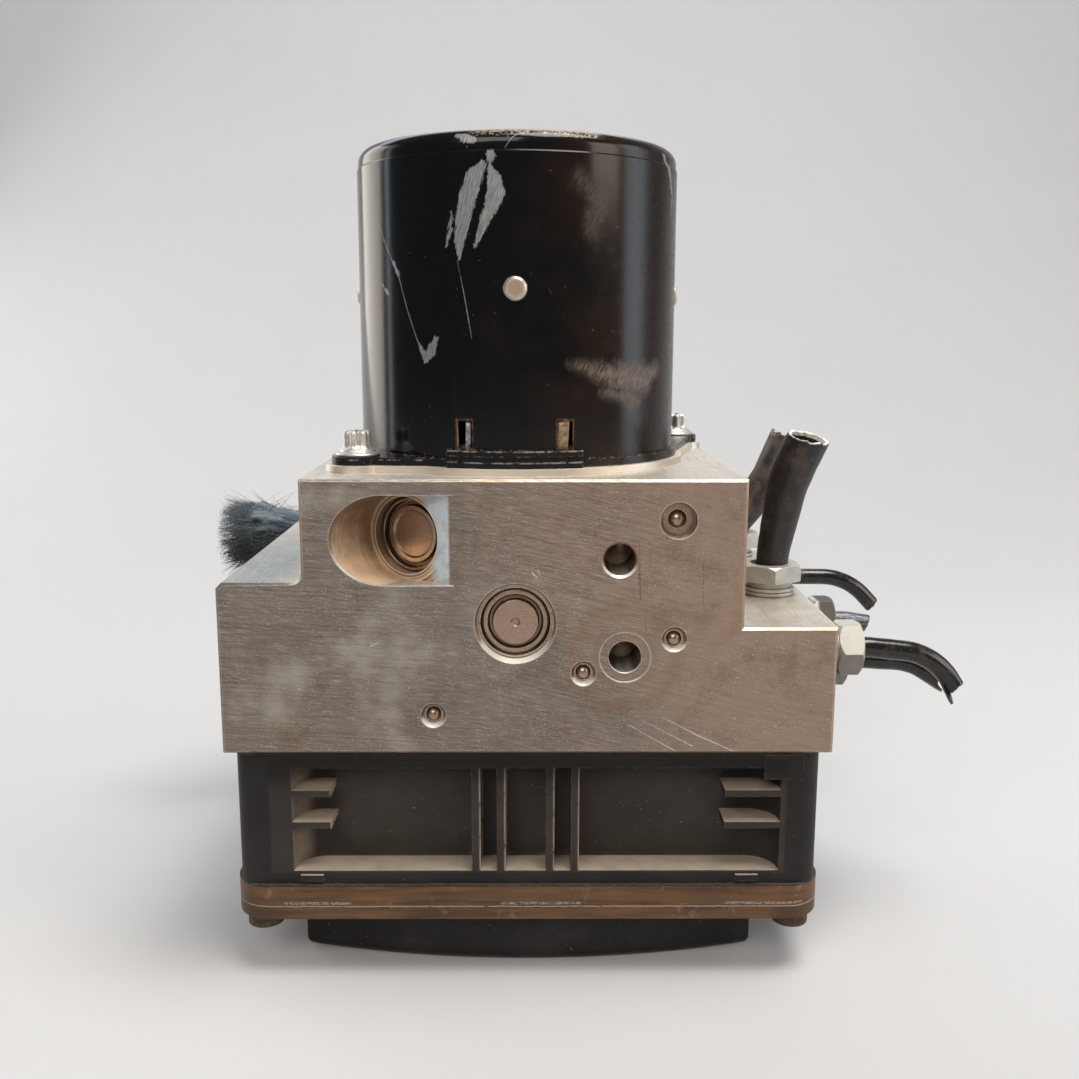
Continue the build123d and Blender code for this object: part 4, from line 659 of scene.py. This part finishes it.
def fittingZinc():
    g = Graph("fittingZinc", fittingFinish)
    cloud = g.noise(0.3, 5, 0.65)
    g.colour = g.mix(cloud.step(0.35, 0.65), "zinc", "cool")
    g.coat(g.noise(0.9, 4, 0.8).step(0.55, 0.75) * 0.5, "dull")
    g.coat((g.hollows(1.5) * 1.3).under(1) * 0.7, "dull")
    # Painted shade: faces turned downwards darker
    under = (0 - g.facing(2)).step(0.05, 0.6)
    g.coat(under * 0.8, g.toned("dull", 0.55))
    # Painted light: faces turned upwards whiter
    g.coat(g.facing(2).step(0.2, 0.6) * 0.3, "glintWhite")
    # Painted shade: the nut right of x 72, between y -1.3 and 13, nearly black
    g.coat(g.y.window(-1.3, 13, 0.6) * g.x.step(72, 73) * 0.9, "nutShade")
    # Painted highlight along the edges
    g.coat(g.edges(0.3) * 0.5, "glintWhite")
    rough = 0.42 + (cloud - 0.5) * 0.3
    return g.finish(rough, 0.55, g.bump(g.noise(1.4, 4) + cloud, 0.03))


boltFinish = {
    "zinc": (0.66, 0.66, 0.64), "brown": (0.42, 0.33, 0.23), "dark": (0.12, 0.1, 0.09),
    "glintWhite": (0.92, 0.92, 0.9),
}


def boltSteel():
    g = Graph("boltSteel", boltFinish)
    cloud = g.noise(0.55, 4, 0.7)
    g.colour = g.mix(cloud.step(0.42, 0.75), "zinc", "brown")
    g.coat((g.hollows(1.2) * 1.4).under(1) * 0.8, "dark")
    # Painted highlight along the edges
    g.coat(g.edges(0.25) * 0.6, "glintWhite")
    return g.finish(0.34 + cloud * 0.2, 0.85, g.bump(g.noise(2), 0.03))


housingFinish = {
    "plastic": (0.0128, 0.0098, 0.0082), "blue": (0.0105, 0.011, 0.0125), "dust": (0.33, 0.245, 0.175),
    "brownCoat": (0.168, 0.086, 0.037), "darkCoat": (0.07, 0.036, 0.018), "paleDust": (0.4, 0.34, 0.28),
    "paintedShadow": (0.003, 0.003, 0.003), "gap": (0.006, 0.005, 0.004), "rimLow": 13.8, "rimHigh": 21.8,
    "weldLevel": 16.8,
    "beads": ((-53, -39.5), (-5.5, 11), (44, 60)),
    "recess": (24.5, 50.5),
}


def housingPlastic(name):
    s = housingFinish
    g = Graph(name, s)
    mottle = g.noise(0.1, 4, 0.6)
    fine = g.noise(3.5, 3, 0.6)
    upward = g.facing(2)
    inside = (g.y - blockFront).step(1.6, 2.2) * g.x.size().step(56.5, 56) * g.z.window(*s["recess"], 0.3)
    g.colour = g.mix(mottle, "plastic", "blue")
    # Painted shadow in the top of the recess
    paintedShadow = inside * (g.z + g.swing(0.12, 4)).step(43.5, 49.5)
    panel = inside * (1 - paintedShadow) * (g.noise(0.09, 4, 0.65) + 0.15).under(1)
    g.coat(panel * 0.085, "dust")
    settle = (upward + g.swing(0.5, 0.3, 4)).step(0.4, 0.85)
    settle = settle * (0.95 + g.swing(0.22, 0.6, 4)).under(1)
    corner = (g.hollows(3) + g.swing(0.45, 0.5, 4)).step(0.42, 0.95)
    # The concave left wall of the recess and the right flanks of the ribs, turned to +x: painted light from
    # the right, in the dust tone; the mask below mixes it with dust settled on up faces and in corners
    litLeftWall = g.facing(0).step(0.35, 0.9) * inside * (0 - g.x).step(44, 46)
    litLeftWall = litLeftWall * (0.75 + g.swing(0.3, 0.9, 4)).under(1)
    turned = g.node("ShaderNodeBevel", {"samples": 6}, {"Radius": 0.7 * mm})
    litFlank = g.node("ShaderNodeSeparateXYZ", None, {0: turned}, 0).step(0.12, 0.55) * (1 - litLeftWall)
    litFlank = litFlank * g.x.size().step(45, 44) * g.z.window(*s["recess"], 0.5)
    litFlank = litFlank * g.noise(0.5, 4).step(0.25, 0.5)
    film = g.noise(0.05, 4, 0.65).step(0.4, 0.75) * 0.035
    dustAndLitSides = settle.over(corner * 0.3).over(litLeftWall * 0.7).over(litFlank * 0.95).over(film)
    pale = (g.noise(0.35) + (1 - g.z.step(25.5, 27)) * 0.2).under(1)
    g.coat(dustAndLitSides, g.mix(pale, "dust", "paleDust"))
    specks = g.noise(2, 2, 0.5).step(0.735, 0.765)
    g.coat(specks * 0.7, "paleDust")
    # Painted shadow also just under the block, on faces that do not face up
    paintedShadow = paintedShadow.over(g.z.step(50.6, 52.4) * (1 - upward.step(0.5, 0.8)))
    g.coat(paintedShadow * 0.7, "paintedShadow")
    rough = 0.55 + dustAndLitSides * 0.35 + (mottle - 0.5) * 0.1
    height = fine * 0.6 + g.noise(0.6) * 0.4
    band = g.z.window(s["rimLow"] - 0.5, s["rimHigh"] - 0.05, 0.15)
    coat = band * (0.86 + g.swing(0.09, 0.7, 4)).under(1)
    smear = g.streaks(4, 0.7, (0.05, 0.3, 0.8))
    brown = g.mix(smear.step(0.3, 0.75), "brownCoat", "darkCoat")
    brown = g.mix(g.noise(0.25, 4, 0.7).step(0.56, 0.7) * 0.35, brown, "dust")
    nearScrew = (g.x.size() + g.swing(0.2, 8)).step(50, 57) * (1 - g.z.step(15.5, 19.5))
    brown = g.mix(nearScrew * 0.75, brown, "darkCoat")
    g.coat(coat * 0.92, brown)
    wander = g.z + g.swing(0.5, 0.35)
    level = s["weldLevel"]
    seam = wander.window(level - 0.08, level + 0.08, 0.12) * g.noise(0.7).step(0.22, 0.45)
    for low, high in s["beads"]:
        near = g.x.window(low, high, 1) * (0 - g.y).step(30, 32)
        bead = wander.window(level + 0.5, level + 1, 0.12) * near
        seam = seam.over(bead * g.noise(2.2, 3, 0.7).step(0.38, 0.56))
    gap = g.z.window(s["rimHigh"] - 0.3, s["rimHigh"] + 0.05, 0.1)
    g.coat(seam * 0.65, "paleDust")
    g.coat(gap * 0.8, "gap")
    height = height + seam * 3 - gap * 3
    rough = rough - coat * 0.12
    # Painted highlight along the edges, in the pale dust tone
    edge = g.edges(0.3) * g.noise(0.8, 4).step(0.45, 0.6)
    g.coat(edge * 0.3, "paleDust")
    return g.finish(rough, 0, g.bump(height, 0.035), IOR=1.33)


lineFinish = {
    "black": (0.008, 0.0075, 0.0075), "brown": (0.075, 0.048, 0.032), "bare": (0.55, 0.48, 0.38),
    "grey": (0.085, 0.08, 0.072), "steel": (0.22, 0.23, 0.25), "darkSteel": (0.05, 0.05, 0.053),
}


def linePaint(name, dirt, shine):
    g = Graph(name, lineFinish)
    patch = g.noise(0.22, 5, 0.7)
    g.colour = g.mix(patch.step(0.62 - dirt * 0.25, 0.85 - dirt * 0.2) * dirt, "black", "brown")
    flakes = g.noise(0.9, 4, 0.75).step(0.62, 0.68) * dirt
    g.coat(flakes * 0.5, "grey")
    worn = g.edges(0.3, 0.02, 0.12) * g.noise(1.2).step(0.35, 0.55)
    chips = g.noise(1.1, 3, 0.7).step(0.7, 0.74)
    bare = worn.over(chips * 0.7)
    g.coat(bare * 0.8, "bare")
    rough = 0.5 - shine * 0.3 + patch.step(0.45, 0.7) * dirt * 0.35 + bare * 0.2
    return g.finish(rough, bare * 0.8, g.bump(patch * 0.5 + flakes * 0.5, 0.08), IOR=1.5)


def bareLine():
    g = Graph("bareLine", lineFinish)
    scuffs = g.streaks(4, 0.7, (0.6, 2.5, 2.5))
    g.colour = g.mix(scuffs.step(0.35, 0.65), "darkSteel", "steel")
    g.coat(g.noise(0.5, 4).step(0.6, 0.7) * 0.7, "brown")
    return g.finish(0.38 + scuffs * 0.2, 0.85, g.bump(scuffs, 0.05))


def tornEdge(name, light, dark, metal):
    g = Graph(name)
    grit = g.noise(1.3, 4, 0.75)
    g.colour = g.mix(grit.step(0.38, 0.56), dark, light)
    return g.finish(0.45, metal, g.bump(grit, 0.12))


loomFinish = {"black": (0.01, 0.01, 0.011), "blue": (0.13, 0.17, 0.2), "tip": (0.3, 0.35, 0.38)}


def loomFleece(name, lift):
    g = Graph(name, loomFinish)
    nap = g.streaks(4, 0.75, (0.35, 3, 3), (8, 0, 12))
    # Painted light: the fleece lighter and bluer where it faces up and higher up
    lit = (g.facing(2) * 0.5 + 0.42 + (nap - 0.5) * 0.8 + (g.z - 84) * 0.03).step(0.45, 1)
    g.colour = g.mix(lit, "black", "blue")
    g.coat((nap - 0.2).step(0.4, 0.6) * lift, "tip")
    return g.finish(0.9, 0, g.bump(nap, 0.35), Sheen_Weight=0.6, Sheen_Roughness=0.4)


# Plain finishes, most of them of pieces inside: two colours, grain per mm, roughness, metal, bump depth in mm
plainFinishes = {
    "valve_steel": ((0.6, 0.6, 0.6), (0.46, 0.46, 0.47), 1.2, 0.28, 0.95, 0.01),
    "accumulator_metal": ((0.62, 0.6, 0.56), (0.5, 0.48, 0.45), 0.8, 0.34, 0.9, 0.01),
    "spring_steel": ((0.4, 0.4, 0.42), (0.28, 0.28, 0.3), 1.5, 0.35, 0.9, 0.01),
    "coil_cover": ((0.16, 0.16, 0.18), (0.1, 0.1, 0.11), 0.6, 0.5, 0.3, 0.03),
    "contact_tin": ((0.72, 0.72, 0.7), (0.6, 0.6, 0.58), 1.5, 0.32, 0.95, 0.01),
    "board": ((0.04, 0.18, 0.09), (0.03, 0.13, 0.07), 0.5, 0.45, 0, 0.02),
    "seal_rubber": ((0.018, 0.018, 0.018), (0.03, 0.029, 0.028), 0.8, 0.75, 0, 0.04),
    "magnet": ((0.13, 0.13, 0.14), (0.09, 0.09, 0.1), 1, 0.6, 0.3, 0.04),
    "insulator": ((0.11, 0.085, 0.06), (0.07, 0.055, 0.04), 0.6, 0.55, 0, 0.03),
    "core_steel": ((0.34, 0.34, 0.35), (0.22, 0.21, 0.21), 1.8, 0.45, 0.85, 0.03),
    "copper": ((0.72, 0.36, 0.18), (0.5, 0.22, 0.1), 1.4, 0.35, 0.9, 0.03),
    "carbon": ((0.06, 0.06, 0.06), (0.03, 0.03, 0.03), 1.2, 0.6, 0.1, 0.03),
    "plug_plastic": ((0.022, 0.022, 0.023), (0.034, 0.033, 0.032), 0.35, 0.48, 0, 0.04),
    "grimyScrew": ((0.1, 0.06, 0.034), (0.035, 0.022, 0.014), 0.7, 0.55, 0.5, 0.08),
    "tabBrass": ((0.5, 0.36, 0.23), (0.22, 0.12, 0.06), 0.9, 0.38, 0.8, 0.04),
    "tabSteel": ((0.5, 0.52, 0.54), (0.02, 0.02, 0.022), 1.6, 0.4, 0.8, 0.1),
}


def plainFinish(name, light, dark, grain, rough, metal, depth):
    g = Graph(name)
    cloud = g.noise(grain, 4, 0.6)
    g.colour = g.mix(cloud.step(0.3, 0.7), light, dark)
    return g.finish(rough + (cloud - 0.5) * 0.2, metal, g.bump(cloud, depth))


finishes = {
    "block_metal": blockMetal(),
    "steel_plug": plugSteel(),
    "can_black": canPaint(),
    "fitting_zinc": fittingZinc(),
    "screw_steel": boltSteel(),
    "housing_plastic": housingPlastic("housingPlastic"),
    "lid_plastic": housingPlastic("lidPlastic"),
    "line_black": linePaint("linePaint", 0.5, 1),
    "line_bare": bareLine(),
    "loom_fleece": loomFleece("loomFleece", 0),
    "fleece_fibres": loomFleece("fleeceFibres", 0.6),
    "rustyHose": linePaint("rustyHose", 1, 0.1),
    "hose": linePaint("hose", 0.7, 0.25),
    "tornRim": tornEdge("tornRim", (0.9, 0.86, 0.78), (0.45, 0.39, 0.33), 0.2),
    "tornRubber": tornEdge("tornRubber", (0.1, 0.09, 0.085), (0.02, 0.018, 0.016), 0),
    # Painted shade: the bores of the cut lines near black
    "shadedInside": tornEdge("shadedInside", (0.022, 0.018, 0.015), (0.006, 0.006, 0.006), 0),
}
for finishName, values in plainFinishes.items():
    finishes[finishName] = plainFinish(finishName, *values)
slotOf = {part["node"]: part["material_slot"] for part in frame["record"]["subparts"]}
for nodeName, nodeObject in nodes.items():
    for holder in nodeObject.material_slots:
        holder.material = finishes[slotOf[nodeName]]
print("finishes ready:", len(finishes))


# Dressed copies of the outer solids, with their edges softened: edge width in mm
edgeWidths = {
    "hydraulic_block": 0.16,
    "motor_can": 0.12,
    "ecu_housing": 0.22,
    "ecu_lid": 0.25,
    "suction_unions": 0.12,
    "union_washers": 0.08,
    "brake_nuts": 0.14,
    "harness_plug": 0.4,
    "ecu_screws": 0.2,
    "pump_plug_front": 0.08,
    "pump_plug_rear": 0.08,
    "damper_plugs": 0.08,
}
for nodeName, width in edgeWidths.items():
    finish = finishes["grimyScrew" if nodeName == "ecu_screws" else slotOf[nodeName]]
    shell = fromNode(nodeName)
    piece = makePiece("dressed_" + nodeName, shell, [finish], stands=[nodeName])
    softenEdges(piece, width)
print("outer solids dressed:", len(edgeWidths))


# Coil springs, which a piston or brush presses shorter: each gets a merged copy with a mesh of its own


def pressedSpring(nodeName):
    shell = fromNode(nodeName)
    piece = makePiece(
        "pressed_" + nodeName, shell, [finishes[slotOf[nodeName]]], stands=[nodeName])
    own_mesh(piece)


for joint in frame["record"]["behaviour"]["joints"]:
    for deforming in joint.get("deforming_nodes", ()):
        pressedSpring(deforming["node"])
print("springs ready")


# Cut lines

brakePipe = {
    "radius": 2.375, "wall": 0.7, "widening": 0, "widens": (5, 10), "tongues": (), "sides": 64,
    "finish": ("line_black", "tornRim", "shadedInside"),
}
# Lengths in mm. Each corner has a bend radius, each tongue an angle and half width in degrees and a reach
lineShapes = {
    "suction_tube_front": {
        "corners": (
            (57.6, -10.5, 85.2, 0), (57.6, -10.5, 89.4, 14),
            (59.7, -14.6, 108, 34), (63.7, -17.1, 118.7, 0)),
        "radius": 3.6, "wall": 0.95, "widening": 1.2, "widens": (1, 25), "trim": 0.9,
        "slant": (0.176, 0), "ragged": 0.28, "tongues": ((-65, 20, 0.5), (-110, 14, 0.3)),
        "dents": 0.1, "sides": 96, "seed": 3, "finish": ("hose", "tornRim", "shadedInside"),
    },
    "suction_tube_rear": {
        "corners": (
            (55.5, 33, 85.2, 0), (55.5, 33, 89.4, 8),
            (65, 33, 101.9, 28), (70.7, 33, 114.5, 0)),
        "radius": 4.3, "wall": 0.85, "widening": 0.8, "widens": (3, 30), "trim": 1.4,
        "slant": (0.12, 0), "ragged": 1.3, "tongues": ((180, 30, 1.3), (-140, 14, 0.9)),
        "dents": 0.12, "sides": 72, "seed": 8, "finish": ("rustyHose", "tornRubber", "shadedInside"),
    },
    "brake_pipe_a": {
        **brakePipe,
        "corners": (
            (74, -19, 69.5, 0), (79, -19, 69.5, 15),
            (95.1, -19, 67.8, 15.4), (100.2, -19, 58.6, 0)),
        "widening": 0.12, "widens": (26, 31), "trim": 1.5, "slant": (0, -0.12), "ragged": 0.5,
        "tongues": ((-100, 42, 3.4),), "dents": 0.05, "seed": 5,
        "finish": ("line_black", "tornRubber", "shadedInside"),
    },
    "brake_pipe_b": {
        **brakePipe,
        "corners": (
            (74, -7, 63.4, 0), (79, -7, 63.4, 15),
            (93, -7, 62.6, 16), (101, -7, 57.8, 0)),
        "widening": 0.25, "widens": (20, 27), "trim": 2.7, "slant": (0, -1.75), "ragged": 1,
        "dents": 0.06, "seed": 2,
    },
    "brake_pipe_c": {
        **brakePipe,
        "corners": ((74, 6, 69.5, 0), (80, 6, 69.5, 8), (86.8, 6, 68.5, 0)),
        "trim": 1.35, "slant": (0, 0.249), "ragged": 0.15, "dents": 0.03, "seed": 6,
        "finish": ("line_bare", "tornRim", "shadedInside"),
    },
    "brake_pipe_d": {
        **brakePipe,
        "corners": (
            (36, 53, 68.4, 0), (36, 65, 68.4, 8),
            (96.8, 65, 68.4, 18), (105.9, 65, 58.7, 0)),
        "trim": 1.32, "slant": (0, -0.14), "ragged": 0.2, "dents": 0.03, "sides": 48, "seed": 4,
    },
}
# Steps along an arc, a run and the mesh, depth and rows of a cut end, and rise of its lip, in mm
lineMesh = {"arc": 0.5, "run": 0.7, "row": 0.9, "depth": 11, "depthRows": 12, "lip": 0.12}


def tipShift(s, angle):  # how far the cut end stands beyond a square cut, in mm
    spot = Vector((math.cos(angle), math.sin(angle), s["seed"]))
    shift = s["radius"] * (s["slant"][0] * spot.x + s["slant"][1] * spot.y) - s["trim"]
    shift += s["ragged"] * noise.fractal(spot * 2.3, 0.7, 2.2, 4)
    for centre, half, reach in s["tongues"]:
        gap = abs((angle - math.radians(centre) + math.pi) % (2 * math.pi) - math.pi)
        shift += reach * max(0, 1 - gap / math.radians(half)) ** 1.4
    return shift


def cutLine(name):
    s = {**lineMesh, **lineShapes[name]}
    route = spaced(bendRoute(s["corners"], s["arc"]), s["run"])
    length = sum((end - start).length for start, end in zip(route, route[1:]))
    radius, wall, depth, depthRows = s["radius"], s["wall"], s["depth"], s["depthRows"]
    rows = round(length / s["row"])
    profile = [(0, 0)] + [(radius, length * i / rows) for i in range(rows + 1)]
    profile += [(radius - wall * share, length + s["lip"]) for share in (0.2, 0.8)]
    profile += [(radius - wall, length - depth * i / depthRows) for i in range(depthRows + 1)]
    shell = lathe(profile + [(0, length - depth)], s["sides"])
    for face in shell.faces:
        centre = face.calc_center_median() / mm
        away = math.hypot(centre.x, centre.y)
        face.material_index = 0 if away > radius * 0.97 else 1 if centre.z > length - 1 else 2
    low, high = s["widens"]
    for vert in shell.verts:
        away = math.hypot(vert.co.x, vert.co.y)
        z = vert.co.z / mm
        outer = away > (radius - wall * 0.1) * mm
        shift = tipShift(s, math.atan2(vert.co.y, vert.co.x))
        z += shift * ((z / length) ** 3 if outer else clamped(1 - (length - z) / depth * 0.8))
        grow = s["widening"] * clamped((z - low) / (high - low)) ** 1.1
        grow += s["dents"] * noise.noise(vert.co / mm * 0.35 + Vector((0, 0, s["seed"])))
        if away > 0.5 * mm:
            vert.co.x *= 1 + grow * mm / away
            vert.co.y *= 1 + grow * mm / away
        vert.co.z = z * mm
    bendAlong(shell, route)
    made = [finishes[key] for key in s["finish"]]
    makePiece("cut_" + name, shell, made, stands=[name], creaseAngle=50)


for nodeName in lineShapes:
    cutLine(nodeName)
print("cut lines ready:", len(lineShapes))


# Bent tabs behind the windows of the can

tabShapes = (
    # x, y, z of the middle, width, depth, height in mm, lean in degrees, finish
    (7.3, -34.9, 120, 2.3, 0.5, 6.1, 3, 0),
    (-15, -34.2, 120, 0.5, 0.5, 6.1, -2, 0),
    (-12.7, -34.6, 119.8, 1.1, 0.5, 5.8, 1, 1),
)


def windowTabs():
    shell = bmesh.new()
    for x, y, z, width, depth, height, lean, finish in tabShapes:
        place = Matrix.Translation(Vector((x, y, z)) * mm) @ Matrix.Rotation(math.radians(lean), 4, "Y")
        place = place @ Matrix.Diagonal((width * mm, depth * mm, height * mm, 1))
        made = bmesh.ops.create_cube(shell, size=1, matrix=place)
        for face in {face for vert in made["verts"] for face in vert.link_faces}:
            face.material_index = finish
        edges = {edge for vert in made["verts"] for edge in vert.link_edges}
        bmesh.ops.bevel(
            shell, geom=list(edges), offset=0.12 * mm, segments=2, profile=0.5, affect="EDGES", material=-1)
    makePiece("window_tabs", shell, [finishes["tabBrass"], finishes["tabSteel"]])


windowTabs()
print("window tabs ready")


# Motor bolts

boltShape = {
    "profile": (
        (0, -11.8), (2.45, -11.8), (2.45, 0), (4.7, 0), (4.78, 0.12), (4.78, 0.38), (4.62, 0.62),
        (4.25, 0.8), (3.95, 0.9), (3.86, 1.02), (3.8, 1.22), (3.62, 1.38), (3.3, 1.55), (3.08, 1.85),
        (2.98, 2.3), (2.95, 3.4), (2.95, 4.5), (2.88, 4.92), (2.66, 5.22), (2.3, 5.38), (1.75, 5.38),
        (1.55, 5.22), (1.4, 4.85), (0, 4.8),
    ),
    "sides": 120,
    "reach": 4.8,
    "height": 5.4,
    "lobeDepth": 0.42,
    "lobeFrom": (1.5, 2.2),
    "turns": (14, 38),
}


def motorBolts():
    s = boltShape
    low, high = (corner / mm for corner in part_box("motor_bolts"))
    reach = s["reach"]
    lobeLow, lobeHigh = s["lobeFrom"]
    shells = []
    for corner, side, turn in ((low, 1, s["turns"][0]), (high, -1, s["turns"][1])):
        shell = lathe(s["profile"], s["sides"])
        for vert in shell.verts:
            angle = math.atan2(vert.co.y, vert.co.x) - math.radians(turn)
            away = math.hypot(vert.co.x, vert.co.y) / mm
            rise = clamped((vert.co.z / mm - lobeLow) / (lobeHigh - lobeLow))
            lobe = s["lobeDepth"] * rise * (abs(math.cos(3 * angle)) ** 1.5 - 1) * 2
            if away > 1.6:
                vert.co.x *= 1 + lobe / away
                vert.co.y *= 1 + lobe / away
        spot = (corner.x + side * reach, corner.y + side * reach, high.z - s["height"])
        bmesh.ops.translate(shell, verts=shell.verts, vec=[length * mm for length in spot])
        shells.append(shell)
    finish = finishes["screw_steel"]
    makePiece("flanged_bolts", merged(shells), [finish], stands=["motor_bolts"])


motorBolts()
print("motor bolts ready")


# Harness loom: a torn fleece sleeve

loomShape = {
    "level": 10.6,
    "rise": 3,
    "core": ((0, 6.3), (0.3, 6.2), (0.55, 6.4), (0.75, 7.6), (0.9, 8.4), (0.97, 7.4), (1, 4.6)),
    "short": 5.5,
    "rough": 0.9,
    "fibres": 6500,
    "fibreLength": (5, 14),
    "fibreWidth": (0.045, 0.1),
    "steps": 4,
    "rows": 60,
    "sides": 90,
    "seed": 11,
}


def loomCentre(share, low, high):
    lift = max(0, (share - 0.35) / 0.65)
    height = low.z + loomShape["level"] + loomShape["rise"] * (lift - 1)
    return Vector((high.x - (high.x - low.x) * share, (low.y + high.y) / 2, height))


def loomRadius(share):
    rows = loomShape["core"]
    for (u0, r0), (u1, r1) in zip(rows, rows[1:]):
        if share <= u1:
            return r0 + (r1 - r0) * (share - u0) / (u1 - u0)
    return rows[-1][1]


def loomCore(low, high):
    s = loomShape
    end = 1 - s["short"] / (high.x - low.x)
    shares = [i / s["rows"] for i in range(s["rows"] + 1)]
    shell = lathe([(0, 0)] + [(loomRadius(share), share * 100) for share in shares] + [(0, 97)], s["sides"])
    for vert in shell.verts:
        share = vert.co.z / mm / 100
        centre = loomCentre(share * end, low, high)
        spot = Vector((vert.co.x, vert.co.y, 0)) / mm
        angle = math.atan2(spot.y, spot.x)
        ripple = noise.fractal(Vector((math.cos(angle) * 2.2, math.sin(angle) * 2.2, share * 5)), 0.7, 2.1, 5)
        grow = 1 + s["rough"] * ripple * (0.04 + 0.16 * share)
        vert.co = (centre + Vector((0, spot.x * grow, spot.y * grow))) * mm
        if share > 0.93:
            vert.co.x += ripple * 2.2 * mm
    bmesh.ops.recalc_face_normals(shell, faces=shell.faces)
    finish = finishes["loom_fleece"]
    makePiece("fleece_core", shell, [finish], stands=["harness_loom"], creaseAngle=70)


def loomFibres(low, high):
    s = loomShape
    dice = random.Random(s["seed"])
    end = 1 - s["short"] / (high.x - low.x)
    shell = bmesh.new()
    steps = s["steps"]
    for _ in range(s["fibres"]):
        share = dice.random() ** 0.6
        angle = dice.uniform(0, 2 * math.pi)
        out = Vector((0, math.cos(angle), math.sin(angle)))
        root = loomCentre(share * end, low, high) + out * loomRadius(share) * dice.uniform(0.86, 1)
        reach = dice.uniform(*s["fibreLength"]) * (0.35 + 0.65 * share)
        stray = dice.random() < 0.03
        spread = dice.uniform(0.02, 0.2) + (0.45 if stray else 0)
        ahead = Vector((-1, 0, 0)) + out * spread + Vector([dice.gauss(0, 0.1) for _ in range(3)])
        if dice.random() < 0.05:
            ahead.x *= -0.4
        ahead.normalize()
        curl = Vector([dice.gauss(0, 0.2) for _ in range(3)]) + Vector((0, 0, -0.08))
        width = dice.uniform(*s["fibreWidth"])
        rings = []
        point = root.copy()
        for k in range(steps + 1):
            side = ahead.cross(Vector((0.3, 0.2, 0.9))).normalized()
            up = ahead.cross(side)
            size = width * (1 - k / steps) + 0.012
            point.x = max(point.x, low.x + 0.15)
            spots = [point + (side * math.cos(a) + up * math.sin(a)) * size for a in (0, 2.1, 4.2)]
            rings.append([shell.verts.new(spot * mm) for spot in spots])
            point = point + ahead * reach / steps
            ahead = (ahead + curl * 0.5).normalized()
        for first, second in zip(rings, rings[1:]):
            for i in range(3):
                shell.faces.new((first[i], first[(i + 1) % 3], second[(i + 1) % 3], second[i]))
        shell.faces.new(rings[-1])
        shell.faces.new(rings[0][::-1])
    makePiece("fleece_fibres", shell, [finishes["fleece_fibres"]], creaseAngle=80)


loomLow, loomHigh = (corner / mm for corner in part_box("harness_loom"))
loomCore(loomLow, loomHigh)
loomFibres(loomLow, loomHigh)
print("harness loom ready")
